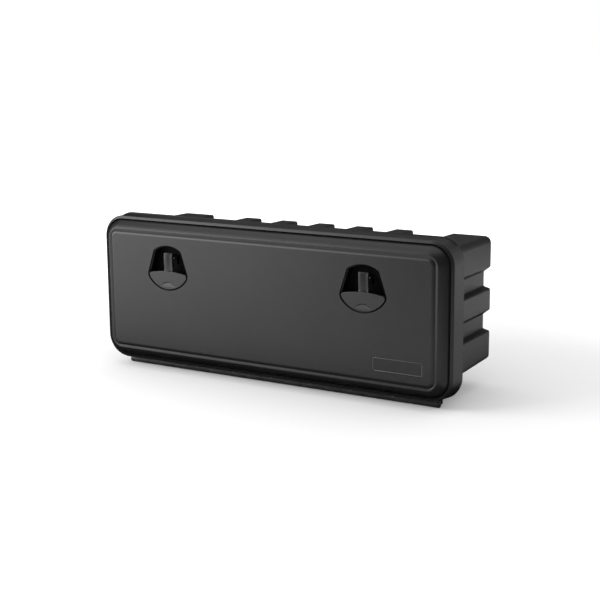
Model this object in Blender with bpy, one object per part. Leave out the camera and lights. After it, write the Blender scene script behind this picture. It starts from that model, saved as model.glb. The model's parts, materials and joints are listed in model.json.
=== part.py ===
"""Side-mounted plastic tool box with a drop-down front lid and two pull-handle latches.

The box lies along X, opens toward -Y and stands on Z = 0. The origin is the centre of its
footprint. Everything is in metres.
"""
import bpy
import bmesh
from math import asin, atan2, cos, pi, sin, sqrt, tan
from mathutils import Vector

# Overall size: width and height are those of the lid's skirt, depth runs from panel to rear wall
LID_WIDTH = 0.750
DEPTH = 0.238
LID_HEIGHT = 0.2843
LID_LOW = 0.014
PLAY = 0.0003

# Lid shell
PANEL_PROUD = 0.017
SKIRT_DEPTH = 0.037
SIDE_FLARE = 0.00235
TOP_FLARE = 0.0030
LID_CORNER = 0.043
SKIRT_WALL = 0.0035
LID_WALL = 0.0035
LIP_WIDTH = 0.0048
LIP_LEAN = 0.50
LIP_ROUND = 0.0016
VALLEY_WIDTH = 0.0032
VALLEY_DEPTH = 0.0042
BORDER_WIDTH = 0.0135
BORDER_FALL = 0.0008
BORDER_BOW = 0.36
PANEL_INSET = 0.0334
PANEL_CORNER = 0.006
PANEL_ROLL = 0.0067
PANEL_RAISE = 0.003
CHANNEL_DEPTH = 0.0012
CHANNEL_FRONT = 0.005
CHANNEL_REAR_RIM = 0.003

# Body shell
BODY_SIDE_INSET = 0.0246
BODY_DRAFT = 0.0055
BODY_TOP_INSET = 0.0225
BODY_TOP_DRAFT = 0.001
BODY_LOW_RISE = 0.0278
BODY_LOW_DRAFT = 0.0045
BODY_WALL = 0.004
BODY_TOP_ROUND = 0.012
BODY_LOW_ROUND = 0.009
REAR_ROUND = 0.003
GROOVE_DEPTH = 0.0129
GROOVE_LEAN = 0.001
RIB_PITCH = 0.0846
RIB_WIDTH = 0.0364
RIBS_EACH_SIDE = 2
CORNER_RIB_WIDTH = 0.0824
SIDE_GROOVE_TOP_SHARES = (0.4205, 0.7581)
SIDE_GROOVE_OPENING = 0.0402
SIDE_GROOVE_DROP = 0.0102
SIDE_GROOVE_RISE = 0.0034

# Mouth of the body, its sealing rim and the flange inside the skirt
MOUTH_STEP = 0.001
MOUTH_CORNER = 0.014
RIM_WALL = 0.004
RIM_SET_BACK = 0.0008
FLANGE_FRONT = 0.024
FLANGE_THICK = 0.004
FLANGE_GAP = 0.0016
FLANGE_LOW_GAP = 0.0072

# Seal in its channel on the inside of the lid
SEAL_INNER = 0.0025
SEAL_OUTER = 0.0065
SEAL_SQUEEZE_GAP = 0.0003
SEAL_RIB = 0.0025
SEAL_RIB_SET_BACK = 0.0015

# Hinge: two leaves, a pin and rivets
BARREL_RADIUS = 0.0065
BARREL_BEHIND_LIP = 0.028
PIN_RADIUS = 0.002
STRIP_INSET = 0.038
KNUCKLE_WIDTH = 0.036
KNUCKLE_GAP = 0.0006
KNUCKLES_EACH_SIDE = 3
LEAF_THICK = 0.0018
LID_LEAF_FRONT = 0.009
LID_LEAF_NOTCH = 0.002
BODY_LEAF_NOTCH = 0.0008
BODY_LEAF_GAP = 0.0024
BODY_LEAF_HEIGHT = 0.030
BODY_LEAF_DROP = 0.0001
RAIL_THICK = 0.0055
RAIL_END_INSET = 0.004
RAIL_LOW = 0.0075
RIVET_RADIUS = 0.0016
RIVET_HEAD_RADIUS = 0.0032
RIVET_HEAD = 0.0012
RIVET_GRIP = 0.0026
RIVET_PITCH = 0.0846
RIVETS_EACH_SIDE = 3
LEAF_RIVET_UP = 0.0155

# Moulded foot rails under the body
FOOT_SOLE_THICK = 0.005
FOOT_WEB = 0.008
FOOT_FRONT = 0.066
FOOT_REAR_INSET = 0.007

# Latch opening in the lid, shaped like a plectrum with its wide end down
LATCH_SIDE_INSET = 0.1654
LATCH_TOP_DROP = 0.050
LATCH_WIDTH = 0.0922
LATCH_HEIGHT = 0.0863
LATCH_ARC = 0.054
SHOULDER_SHARE = 0.683
HIP_TOP_SHARE = 0.405
HIP_LOW_SHARE = 0.247
HIP_SHARE = 0.983
HIP_BULGE_SHARE = 1.033

# Latch housing, the cup behind the opening
GASKET_THICK = 0.0015
GASKET_OUT = 0.003
LEDGE = 0.0016
CUP_WALL = 0.0022
CUP_FLOOR_DEPTH = 0.023
CUP_FLOOR = 0.0035
CUP_FLANGE_HALF = 0.050
CUP_FLANGE_TOP_DROP = 0.0083
CUP_FLANGE_CORNER = 0.008
CUP_FLANGE_DEPTH = 0.012
CUP_FLANGE_THICK = 0.0025
BOSS_RADIUS = 0.005
BOSS_SIDE = 0.0432
BOSS_INSET = 0.007
SCREW_RADIUS = 0.0016
SCREW_HEAD_RADIUS = 0.0034
SCREW_HEAD = 0.002
SCREW_BITE = 0.005

# Handle: crescent pull, stem with two cheeks, arms that push the bolt down
HANDLE_GAP = 0.0027
CRESCENT_THICK = 0.0048
CRESCENT_TOP = 0.0373
CRESCENT_TOP_RISE = 0.0053
THUMB_RADIUS = 0.0232
THUMB_TOP = 0.018
THUMB_LOW = 0.006
THUMB_DEPTH = 0.003
STEM_WIDTH = 0.020
STEM_SET_BACK = 0.0016
STEM_RISE = 0.009
STEM_DEPTH = 0.0064
STEM_BRIDGE = 0.0035
CHEEK_THICK = 0.0038
WEB_SET_BACK = 0.0022
WEB_THICK = 0.0009
PIVOT_DEPTH = 0.0085
PIVOT_DROP = 0.0233
PIVOT_RADIUS = 0.002
PIVOT_PROUD = 0.0012
LUG_RADIUS = 0.0038
LUG_GAP = 0.0004
ARM_LENGTH = 0.031
ARM_HEIGHT = 0.005
HANDLE_OPEN_DROP = 0.0163
SLOT_MARGIN = 0.0016

# Bolt, its guide, its return spring and the strike plate it hooks behind
BOLT_THICK = 0.005
BOLT_HALF = 0.008
BOLT_NECK_HALF = 0.005
BOLT_EAR_HALF = 0.011
BOLT_EAR_HEIGHT = 0.006
BOLT_TAIL_HALF = 0.0025
BOLT_TAIL_DROP = 0.047
BOLT_SHOULDER = 0.008
BOLT_TIP_GAP = 0.0029
BOLT_RAMP_HEIGHT = 0.010
BOLT_RAMP_DEPTH = 0.004
BOLT_PLAY = 0.0004
STRIKE_GAP = 0.0012
STRIKE_THICK = 0.002
STRIKE_DROP = 0.0129
STRIKE_HALF = 0.020
STRIKE_LEG = 0.012
STRIKE_RIVET_SIDE = 0.015
GUIDE_HALF = 0.020
GUIDE_PLATE = 0.0022
GUIDE_LOW_DROP = 0.042
GUIDE_RISE = 0.018
GUIDE_BLOCK_HALF = 0.012
GUIDE_BLOCK_RISE = 0.004
GUIDE_SEAT_HALF = 0.009
GUIDE_SEAT_DROP = 0.030
GUIDE_SEAT_HEIGHT = 0.010
GUIDE_BACK = 0.0025
GUIDE_SCREW_SIDE = 0.016
GUIDE_SCREW_DROP = 0.0365
GUIDE_SCREW_RISE = 0.0135
SPRING_RADIUS = 0.0045
SPRING_WIRE = 0.00045
SPRING_TURNS = 6
SPRING_STEPS = 10

# Badge plate, left bare
BADGE_SIDE_INSET = 0.0982
BADGE_RISE = 0.061
BADGE_WIDTH = 0.0966
BADGE_HEIGHT = 0.025
BADGE_CORNER = 0.003
BADGE_THICK = 0.0014
BADGE_RIM = 0.0012
BADGE_RECESS = 0.0005

CORNER_STEPS = 6
ARC_STEPS = 6
ROLL_STEPS = 3
LIP_STEPS = 3
ROUND_SIDES = 10
BARREL_SIDES = 16
OVERRUN = 0.002

# Places worked out from the sizes above
FRONT_Y = -DEPTH / 2
REAR_Y = DEPTH / 2
LIP_Y = FRONT_Y + PANEL_PROUD
SKIRT_Y = LIP_Y + SKIRT_DEPTH
BORDER_HEIGHT = PANEL_PROUD - PANEL_RAISE + BORDER_FALL
LID_INNER_Y = FRONT_Y + LID_WALL
LIP_HALF = LID_WIDTH / 2 - SIDE_FLARE
LID_TOP = LID_LOW + LID_HEIGHT
LIP_LOW = LID_LOW + TOP_FLARE
LIP_HIGH = LID_TOP - TOP_FLARE
FLANGE_Y = LIP_Y + FLANGE_FRONT
FLANGE_REAR_Y = FLANGE_Y + FLANGE_THICK
RIM_Y = LIP_Y + RIM_SET_BACK
HINGE_Y = LIP_Y + BARREL_BEHIND_LIP
HINGE_Z = BARREL_RADIUS
STRIP_HALF = LID_WIDTH / 2 - STRIP_INSET
BODY_HALF = LID_WIDTH / 2 - BODY_SIDE_INSET
BODY_TOP = LID_TOP - BODY_TOP_INSET
BODY_LOW = LID_LOW + BODY_LOW_RISE
MOUTH_HALF = BODY_HALF - GROOVE_DEPTH - BODY_WALL - MOUTH_STEP
MOUTH_LOW = BODY_LOW + GROOVE_DEPTH + BODY_WALL + MOUTH_STEP
MOUTH_HIGH = BODY_TOP - GROOVE_DEPTH - BODY_WALL - MOUTH_STEP
LATCH_X = LID_WIDTH / 2 - LATCH_SIDE_INSET
LATCH_LOW_Z = LID_TOP - LATCH_TOP_DROP - LATCH_HEIGHT
BADGE_X = LID_WIDTH / 2 - BADGE_SIDE_INSET
BADGE_Z = LID_LOW + BADGE_RISE
PIVOT_Y = FRONT_Y + PIVOT_DEPTH
PIVOT_Z = LATCH_LOW_Z + LATCH_HEIGHT - PIVOT_DROP
GASKET_Y = LID_INNER_Y + PLAY
CUP_Y = GASKET_Y + GASKET_THICK + PLAY
CUP_FLOOR_Y = FRONT_Y + CUP_FLOOR_DEPTH
CUP_REAR_Y = CUP_FLOOR_Y + CUP_FLOOR
CUP_FLANGE_HIGH_Z = LATCH_LOW_Z + LATCH_HEIGHT - CUP_FLANGE_TOP_DROP
CUP_FLANGE_Y = FRONT_Y + CUP_FLANGE_DEPTH
STRIKE_Y = CUP_REAR_Y + STRIKE_THICK
BOLT_Y = STRIKE_Y + STRIKE_THICK + STRIKE_GAP
BOLT_REAR_Y = BOLT_Y + BOLT_THICK
GUIDE_Y = CUP_REAR_Y + PLAY
RAIL_HALF = STRIP_HALF - RAIL_END_INSET
RAIL_Y = SKIRT_Y + BODY_LEAF_GAP + LEAF_THICK + PLAY

PLASTIC = ((0.020, 0.020, 0.021), 0.48, 0.0)
LATCH_PLASTIC = ((0.024, 0.024, 0.025), 0.42, 0.0)
RUBBER = ((0.012, 0.012, 0.012), 0.75, 0.0)
STEEL = ((0.55, 0.55, 0.56), 0.32, 1.0)
BLACK_STEEL = ((0.025, 0.025, 0.026), 0.40, 0.6)


def clear_scene():
    for item in list(bpy.data.objects):
        bpy.data.objects.remove(item, do_unlink=True)


def give_finish(item, finish):
    colour, roughness, metallic = finish
    material = bpy.data.materials.new(item.name)
    material.use_nodes = True
    shader = material.node_tree.nodes["Principled BSDF"]
    shader.inputs["Base Color"].default_value = (*colour, 1.0)
    shader.inputs["Roughness"].default_value = roughness
    shader.inputs["Metallic"].default_value = metallic
    item.data.materials.append(material)


def put_object(name, mesh, finish=None, origin=(0.0, 0.0, 0.0)):
    """Link a mesh built in world coordinates, with its origin moved to the given place."""
    item = bpy.data.objects.new(name, mesh)
    bpy.context.scene.collection.objects.link(item)
    place = Vector(origin)
    for vertex in mesh.vertices:
        vertex.co -= place
    item.location = place
    if finish:
        give_finish(item, finish)
    return item


def to_mesh(bm, name):
    bmesh.ops.recalc_face_normals(bm, faces=bm.faces)
    mesh = bpy.data.meshes.new(name)
    bm.to_mesh(mesh)
    bm.free()
    return mesh


def loft(bm, rings, capped=True, cyclic=False):
    """Skin rings of equally many points; caps close both ends, cyclic joins last to first."""
    loops = [[bm.verts.new(point) for point in ring] for ring in rings]
    count = len(loops[0])
    pairs = list(zip(loops, loops[1:]))
    if cyclic:
        pairs.append((loops[-1], loops[0]))
    for first, second in pairs:
        for k in range(count):
            after = (k + 1) % count
            bm.faces.new((first[k], first[after], second[after], second[k]))
    if capped and not cyclic:
        bm.faces.new(loops[0][::-1])
        bm.faces.new(loops[-1])
    return loops


def arc(centre_x, centre_z, radius, start, stop, steps):
    """Points of an arc in the XZ plane, angles in radians."""
    angles = [start + (stop - start) * k / steps for k in range(steps + 1)]
    return [(centre_x + radius * cos(a), centre_z + radius * sin(a)) for a in angles]


def bend(start, pull, stop, steps):
    """Points of a quadratic curve from start to stop, drawn toward pull."""
    points = []
    for k in range(steps + 1):
        t = k / steps
        weights = ((1 - t) ** 2, 2 * t * (1 - t), t ** 2)
        points.append(tuple(sum(w * p[i] for w, p in zip(weights, (start, pull, stop)))
                            for i in range(2)))
    return points


def round_rectangle(half, low, high, radius, centre_x=0.0):
    """Outline of a rectangle with round corners, counter-clockwise seen from the front."""
    corners = ((half - radius, low + radius, -pi / 2), (half - radius, high - radius, 0.0),
               (radius - half, high - radius, pi / 2), (radius - half, low + radius, pi))
    points = []
    for x, z, start in corners:
        points += arc(centre_x + x, z, radius, start, start + pi / 2, CORNER_STEPS)
    return points


def offset_outline(points, distance):
    """Move every side of a counter-clockwise outline inward, with mitred corners."""
    moved = []
    count = len(points)
    for k in range(count):
        here = Vector(points[k])
        before = (here - Vector(points[k - 1])).normalized()
        after = (Vector(points[(k + 1) % count]) - here).normalized()
        inward = Vector((-before.y - after.y, before.x + after.x))
        inward /= 1 + before.dot(after)
        moved.append(tuple(here + inward * distance))
    return moved


def at_depth(outline, y):
    return [(x, y, z) for x, z in outline]


def prism(name, outline, front, rear, finish=None, origin=(0.0, 0.0, 0.0)):
    """Outline in XZ, extruded along Y."""
    bm = bmesh.new()
    loft(bm, [at_depth(outline, front), at_depth(outline, rear)])
    return put_object(name, to_mesh(bm, name), finish, origin)


def side_prism(name, outline, left, right):
    """Outline in YZ, extruded along X."""
    bm = bmesh.new()
    loft(bm, [[(x, y, z) for y, z in outline] for x in (left, right)])
    return put_object(name, to_mesh(bm, name))


def box(name, low, high):
    outline = [(low[0], low[2]), (high[0], low[2]), (high[0], high[2]), (low[0], high[2])]
    return prism(name, outline, low[1], high[1])


def turned(bm, profile, base, axis, sides=ROUND_SIDES):
    """Round piece on an axis through base; profile holds (radius, distance along the axis)."""
    axis = Vector(axis).normalized()
    side = axis.orthogonal().normalized()
    other = axis.cross(side)
    rings = []
    for radius, along in profile:
        ring = []
        for k in range(sides):
            angle = 2 * pi * (k + 0.5) / sides
            spoke = side * cos(angle) + other * sin(angle)
            ring.append(Vector(base) + axis * along + spoke * radius)
        rings.append(ring)
    loft(bm, rings)


def rods(name, radius, spans, axis, finish=None, sides=ROUND_SIDES, origin=(0.0, 0.0, 0.0)):
    """Plain round bars, one for each (base, length)."""
    bm = bmesh.new()
    for base, length in spans:
        turned(bm, [(radius, 0.0), (radius, length)], base, axis, sides)
    return put_object(name, to_mesh(bm, name), finish, origin)


def fasteners(name, places, axis, sizes, finish):
    """Headed fasteners; the head rests at each place and the shank runs along the axis."""
    head_radius, head, shank_radius, shank = sizes
    profile = [(head_radius, -head), (head_radius, 0.0), (shank_radius, 0.0), (shank_radius, shank)]
    for number, place in enumerate(places, 1):
        label = f"{name}_{number}"
        bm = bmesh.new()
        turned(bm, profile, place, axis)
        smooth(put_object(label, to_mesh(bm, label), finish))


def smooth(item):
    item.data.shade_smooth()
    item.data.set_sharp_from_angle(angle=pi / 6)


def combine(target, tools, operation):
    """Join or cut the target with each tool, one exact Boolean at a time."""
    for tool in tools:
        step = target.modifiers.new(operation.lower(), "BOOLEAN")
        step.operation = operation
        step.solver = "EXACT"
        step.object = tool
        tool.hide_render = True
        tool.display_type = "WIRE"


def join(target, *tools):
    combine(target, tools, "UNION")


def cut(target, *tools):
    combine(target, tools, "DIFFERENCE")


def lip_outline(inset, depth_behind_lip=0.0):
    """The lid's outline, flaring toward the rear edge of its skirt."""
    share = max(depth_behind_lip, 0.0) / SKIRT_DEPTH
    side = LIP_HALF + SIDE_FLARE * share - inset
    low = LIP_LOW - TOP_FLARE * share + inset
    high = LIP_HIGH + TOP_FLARE * share - inset
    return round_rectangle(side, low, high, LID_CORNER - inset)


def panel_outline(grow):
    return round_rectangle(LIP_HALF - PANEL_INSET + grow, LIP_LOW + PANEL_INSET - grow,
                           LIP_HIGH - PANEL_INSET + grow, PANEL_CORNER + grow)


def mouth_outline(grow):
    return round_rectangle(MOUTH_HALF + grow, MOUTH_LOW - grow, MOUTH_HIGH + grow,
                           MOUTH_CORNER + grow)


def border_rings(crest, width, height):
    """Rings of a bowed slope, from the foot of the border up to its crest."""
    chord = atan2(height, width)
    steep = chord + BORDER_BOW
    radius = width / (sin(steep) - sin(chord - BORDER_BOW))
    rings = []
    for k in range(ARC_STEPS + 1):
        slope = steep - 2 * BORDER_BOW * k / ARC_STEPS
        rings.append(at_depth(lip_outline(crest - width + radius * (sin(steep) - sin(slope))),
                              LIP_Y - radius * (cos(slope) - cos(steep))))
    return rings


def lid_outer_rings():
    """Outer surface of the lid from the rear edge of the skirt to the raised panel."""
    crest = LIP_WIDTH + VALLEY_WIDTH + BORDER_WIDTH
    lip_fall = (LIP_WIDTH - LIP_ROUND * (1 - sin(LIP_LEAN))) * tan(LIP_LEAN)
    rings = [at_depth(lip_outline(0.0, SKIRT_DEPTH), SKIRT_Y)]
    for k in range(LIP_STEPS + 1):
        tilt = pi / 2 + (LIP_LEAN - pi / 2) * k / LIP_STEPS
        depth = lip_fall + LIP_ROUND * (cos(LIP_LEAN) - cos(tilt))
        rings.append(at_depth(lip_outline(LIP_ROUND * (1 - sin(tilt)), depth), LIP_Y + depth))
    rings.append(at_depth(lip_outline(LIP_WIDTH), LIP_Y))
    rings.append(at_depth(lip_outline(LIP_WIDTH + VALLEY_WIDTH / 2), LIP_Y + VALLEY_DEPTH))
    rings += border_rings(crest, BORDER_WIDTH, BORDER_HEIGHT)
    turn = 2 * atan2(PANEL_RAISE, PANEL_ROLL)
    roll = PANEL_ROLL / sin(turn)
    for k in range(ROLL_STEPS, -1, -1):
        angle = turn * k / ROLL_STEPS
        rings.append(at_depth(panel_outline(roll * sin(angle)),
                              FRONT_Y + roll * (1 - cos(angle))))
    return rings


def lid_inner_rings():
    """Inner surface of the lid, with the two ribs that hold the seal between them."""
    crest = LIP_WIDTH + VALLEY_WIDTH + BORDER_WIDTH
    inner_width = BORDER_WIDTH - LID_WALL
    inner_height = BORDER_HEIGHT - LID_WALL
    shelf_y = LIP_Y + VALLEY_DEPTH + LID_WALL
    rib_y = LIP_Y - SEAL_RIB_SET_BACK
    rings = [at_depth(lip_outline(SKIRT_WALL, SKIRT_DEPTH), SKIRT_Y),
             at_depth(lip_outline(SKIRT_WALL, shelf_y - LIP_Y), shelf_y),
             at_depth(lip_outline(crest - inner_width), shelf_y)]
    rings += border_rings(crest, inner_width, inner_height)
    band_y = LIP_Y - inner_height
    outer_side = SEAL_OUTER + PLAY
    inner_side = -SEAL_INNER - PLAY
    rings += [at_depth(mouth_outline(outer_side + SEAL_RIB), band_y),
              at_depth(mouth_outline(outer_side + SEAL_RIB), rib_y),
              at_depth(mouth_outline(outer_side), rib_y),
              at_depth(mouth_outline(outer_side), LID_INNER_Y),
              at_depth(mouth_outline(inner_side), LID_INNER_Y),
              at_depth(mouth_outline(inner_side), rib_y),
              at_depth(mouth_outline(inner_side - SEAL_RIB), rib_y),
              at_depth(mouth_outline(inner_side - SEAL_RIB), LID_INNER_Y)]
    return rings


def rain_channel_cutter():
    """Shallow gutter along the top of the skirt, ending half way round both corners."""
    bm = bmesh.new()
    rings = []
    for depth in (CHANNEL_FRONT, SKIRT_DEPTH - CHANNEL_REAR_RIM):
        floor = lip_outline(CHANNEL_DEPTH, depth)
        cover = lip_outline(-OVERRUN, depth)
        first = CORNER_STEPS + 1 + CORNER_STEPS // 2
        last = 2 * (CORNER_STEPS + 1) + CORNER_STEPS // 2
        strip = floor[first:last + 1] + cover[first:last + 1][::-1]
        rings.append(at_depth(strip, LIP_Y + depth))
    loft(bm, rings)
    return put_object("rain_channel_cutter", to_mesh(bm, "rain_channel_cutter"))


def latch_outline(inset=0.0):
    """Plectrum outline of the latch opening around x = 0, z = 0 at its lowest point."""
    half = LATCH_WIDTH / 2
    shoulder = half * SHOULDER_SHARE
    top_centre = LATCH_HEIGHT - LATCH_ARC
    top_end = asin(shoulder / LATCH_ARC)
    hip_top = (half * HIP_SHARE, LATCH_HEIGHT * HIP_TOP_SHARE)
    hip_z = LATCH_HEIGHT * HIP_LOW_SHARE
    hip_x = sqrt(LATCH_ARC ** 2 - (LATCH_ARC - hip_z) ** 2)
    hip_pull = (half * HIP_BULGE_SHARE, (hip_top[1] + hip_z) / 2)
    low_end = asin(hip_x / LATCH_ARC)
    right = arc(0.0, LATCH_ARC, LATCH_ARC, -pi / 2, low_end - pi / 2, ARC_STEPS)[:-1]
    right += bend((hip_x, hip_z), hip_pull, hip_top, ARC_STEPS // 2)
    right += arc(0.0, top_centre, LATCH_ARC, pi / 2 - top_end, pi / 2, ARC_STEPS // 2)
    left = [(-x, z) for x, z in right[1:-1]][::-1]
    return offset_outline(right + left, inset)


def placed(outline, centre_x, low_z):
    return [(x + centre_x, z + low_z) for x, z in outline]


def boss_places(x):
    low = LATCH_LOW_Z + BOSS_INSET
    high = CUP_FLANGE_HIGH_Z - BOSS_INSET
    return [(x + side * BOSS_SIDE, z) for side in (-1, 1) for z in (low, high)]


def lid_rivet_places():
    xs = [k * RIVET_PITCH for k in range(-RIVETS_EACH_SIDE, RIVETS_EACH_SIDE + 1)]
    depth = (LID_LEAF_FRONT + BARREL_BEHIND_LIP - BARREL_RADIUS - LID_LEAF_NOTCH) / 2
    return [(x, LIP_Y + depth, skirt_bottom(depth) - PLAY - LEAF_THICK) for x in xs]


def skirt_bottom(depth):
    """Height of the skirt's underside at a depth behind the lip."""
    return LIP_LOW - TOP_FLARE * depth / SKIRT_DEPTH


def make_lid():
    bm = bmesh.new()
    outer = lid_outer_rings()
    inner = lid_inner_rings()
    loft(bm, inner[::-1] + outer)
    lid = put_object("lid_shell", to_mesh(bm, "lid_shell"), PLASTIC, (0.0, HINGE_Y, HINGE_Z))
    boss_front = LID_INNER_Y - LID_WALL / 2
    boss_length = CUP_FLANGE_Y - PLAY - boss_front
    places = [place for x in (-LATCH_X, LATCH_X) for place in boss_places(x)]
    bosses = [((x, boss_front, z), boss_length) for x, z in places]
    join(lid, rods("lid_boss_tool", BOSS_RADIUS, bosses, (0, 1, 0)))
    for name, x in (("left", -LATCH_X), ("right", LATCH_X)):
        outline = placed(latch_outline(), x, LATCH_LOW_Z)
        cut(lid, prism("lid_opening_" + name, outline, FRONT_Y - OVERRUN, LID_INNER_Y + OVERRUN))
    bite = [((x, CUP_FLANGE_Y - SCREW_BITE, z), SCREW_BITE + OVERRUN) for x, z in places]
    cut(lid, rods("lid_screw_holes", SCREW_RADIUS + PLAY, bite, (0, 1, 0)))
    cut(lid, rain_channel_cutter())
    pocket = round_rectangle(BADGE_WIDTH / 2 + PLAY, BADGE_Z - BADGE_HEIGHT / 2 - PLAY,
                             BADGE_Z + BADGE_HEIGHT / 2 + PLAY, BADGE_CORNER + PLAY, BADGE_X)
    cut(lid, prism("badge_pocket", pocket, FRONT_Y - OVERRUN, FRONT_Y + BADGE_THICK + PLAY))
    holes = [((x, y, z - OVERRUN), RIVET_GRIP + LEAF_THICK + OVERRUN)
             for x, y, z in lid_rivet_places()]
    cut(lid, rods("lid_rivet_holes", RIVET_RADIUS + PLAY, holes, (0, 0, 1)))
    smooth(lid)


def make_seal():
    bm = bmesh.new()
    front = LID_INNER_Y + PLAY
    rear = RIM_Y - SEAL_SQUEEZE_GAP
    rings = [at_depth(mouth_outline(SEAL_OUTER), front), at_depth(mouth_outline(SEAL_OUTER), rear),
             at_depth(mouth_outline(-SEAL_INNER), rear), at_depth(mouth_outline(-SEAL_INNER), front)]
    loft(bm, rings, cyclic=True)
    smooth(put_object("lid_seal", to_mesh(bm, "lid_seal"), RUBBER, (0.0, HINGE_Y, HINGE_Z)))


def make_badge():
    rim = round_rectangle(BADGE_WIDTH / 2, BADGE_Z - BADGE_HEIGHT / 2, BADGE_Z + BADGE_HEIGHT / 2,
                          BADGE_CORNER, BADGE_X)
    field = offset_outline(rim, BADGE_RIM)
    bm = bmesh.new()
    loft(bm, [at_depth(rim, FRONT_Y + BADGE_THICK), at_depth(rim, FRONT_Y),
              at_depth(field, FRONT_Y), at_depth(field, FRONT_Y + BADGE_RECESS)])
    put_object("badge_plate", to_mesh(bm, "badge_plate"), LATCH_PLASTIC)


def body_half_outline(side, low, high):
    """Right half of the ribbed section, from the middle of the floor to the middle of the top."""
    edges = [0.0]
    for k in range(RIBS_EACH_SIDE + 1):
        edges.append(k * RIB_PITCH + RIB_WIDTH / 2)
        edges.append((k + 1) * RIB_PITCH - RIB_WIDTH / 2)
    edges[-1] = BODY_HALF - CORNER_RIB_WIDTH

    def grooved(level, inward):
        points = []
        for rib_end, rib_start in zip(edges[1::2], edges[2::2]):
            points += [(rib_end, level), (rib_end + GROOVE_LEAN, level + inward),
                       (rib_start - GROOVE_LEAN, level + inward), (rib_start, level)]
        return points

    points = grooved(low, GROOVE_DEPTH)
    points += arc(side - BODY_LOW_ROUND, low + BODY_LOW_ROUND, BODY_LOW_ROUND, -pi / 2, 0.0,
                  CORNER_STEPS // 2)
    floor = side - GROOVE_DEPTH
    for share in SIDE_GROOVE_TOP_SHARES:
        top = BODY_LOW + share * (BODY_TOP - BODY_LOW)
        bottom = top - SIDE_GROOVE_OPENING
        points += [(side, bottom), (floor, bottom + SIDE_GROOVE_RISE),
                   (floor, top - SIDE_GROOVE_DROP), (side, top)]
    points += arc(side - BODY_TOP_ROUND, high - BODY_TOP_ROUND, BODY_TOP_ROUND, 0.0, pi / 2,
                  CORNER_STEPS // 2)
    points += grooved(high, -GROOVE_DEPTH)[::-1]
    return points


def body_outline(y, inset=0.0):
    """Whole ribbed section at a depth, drawn in a little toward the rear wall."""
    share = (y - SKIRT_Y) / (REAR_Y - SKIRT_Y)
    right = body_half_outline(BODY_HALF - BODY_DRAFT * share, BODY_LOW + BODY_LOW_DRAFT * share,
                              BODY_TOP - BODY_TOP_DRAFT * share)
    left = [(-x, z) for x, z in right][::-1]
    return offset_outline(right + left, inset)


def body_tube():
    start = (FLANGE_Y + FLANGE_REAR_Y) / 2
    soft = REAR_ROUND * (1 - sqrt(0.5))
    rear_inner = REAR_Y - BODY_WALL
    rings = [at_depth(body_outline(rear_inner, BODY_WALL), rear_inner),
             at_depth(body_outline(start, BODY_WALL), start),
             at_depth(body_outline(start), start),
             at_depth(body_outline(REAR_Y - REAR_ROUND), REAR_Y - REAR_ROUND),
             at_depth(body_outline(REAR_Y - soft, soft), REAR_Y - soft),
             at_depth(body_outline(REAR_Y, REAR_ROUND), REAR_Y)]
    bm = bmesh.new()
    loft(bm, rings)
    return put_object("body_shell", to_mesh(bm, "body_shell"), PLASTIC)


def mouth_frame():
    """Flange that closes the front of the hollow ribs, with the rim that the seal presses on."""
    side = LID_WIDTH / 2 - SIDE_FLARE - SKIRT_WALL - FLANGE_GAP
    low = LIP_LOW + FLANGE_LOW_GAP - FLANGE_GAP
    high = LIP_HIGH - SKIRT_WALL - FLANGE_GAP + TOP_FLARE / 2
    outer = round_rectangle(side, low, high, LID_CORNER - SKIRT_WALL - FLANGE_GAP)
    rings = [at_depth(mouth_outline(0.0), RIM_Y), at_depth(mouth_outline(RIM_WALL), RIM_Y),
             at_depth(mouth_outline(RIM_WALL), FLANGE_Y), at_depth(outer, FLANGE_Y),
             at_depth(outer, FLANGE_REAR_Y), at_depth(mouth_outline(0.0), FLANGE_REAR_Y)]
    bm = bmesh.new()
    loft(bm, rings, cyclic=True)
    return put_object("mouth_frame_tool", to_mesh(bm, "mouth_frame_tool"))


def hinge_rail():
    """Wall under the front of the body that carries the fixed hinge leaf."""
    top = BODY_LOW + GROOVE_DEPTH + BODY_WALL / 2
    return box("hinge_rail_tool", (-RAIL_HALF, RAIL_Y, RAIL_LOW),
               (RAIL_HALF, RAIL_Y + RAIL_THICK, top))


def foot_rail(name, x):
    """Upside-down T rail moulded under a rib, level with the hinge barrel."""
    top = BODY_LOW + BODY_WALL / 2
    sole = RIB_WIDTH / 2
    web = FOOT_WEB / 2
    outline = [(-sole, 0.0), (sole, 0.0), (sole, FOOT_SOLE_THICK), (web, FOOT_SOLE_THICK),
               (web, top), (-web, top), (-web, FOOT_SOLE_THICK), (-sole, FOOT_SOLE_THICK)]
    return prism(name, placed(outline, x, 0.0), LIP_Y + FOOT_FRONT, REAR_Y - FOOT_REAR_INSET)


def strike_rivet_places():
    y = STRIKE_Y + STRIKE_THICK + (STRIKE_LEG - STRIKE_THICK) / 2
    z = MOUTH_HIGH - PLAY - STRIKE_THICK
    return [(x + side * STRIKE_RIVET_SIDE, y, z) for x in (-LATCH_X, LATCH_X) for side in (-1, 1)]


def body_rivet_places():
    xs = [k * RIVET_PITCH for k in range(-RIVETS_EACH_SIDE, RIVETS_EACH_SIDE + 1)]
    return [(x, RAIL_Y - PLAY - LEAF_THICK, HINGE_Z + LEAF_RIVET_UP) for x in xs]


def make_body():
    body = body_tube()
    join(body, mouth_frame(), hinge_rail())
    foot_x = RIBS_EACH_SIDE * RIB_PITCH
    join(body, foot_rail("foot_left_tool", -foot_x), foot_rail("foot_right_tool", foot_x))
    bore = RIVET_RADIUS + PLAY
    strike_holes = [(place, RIVET_GRIP + STRIKE_THICK) for place in strike_rivet_places()]
    cut(body, rods("strike_rivet_holes", bore, strike_holes, (0, 0, 1)))
    leaf_holes = [(place, RIVET_GRIP + LEAF_THICK + PLAY) for place in body_rivet_places()]
    cut(body, rods("leaf_rivet_holes", bore, leaf_holes, (0, 1, 0)))
    smooth(body)


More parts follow.
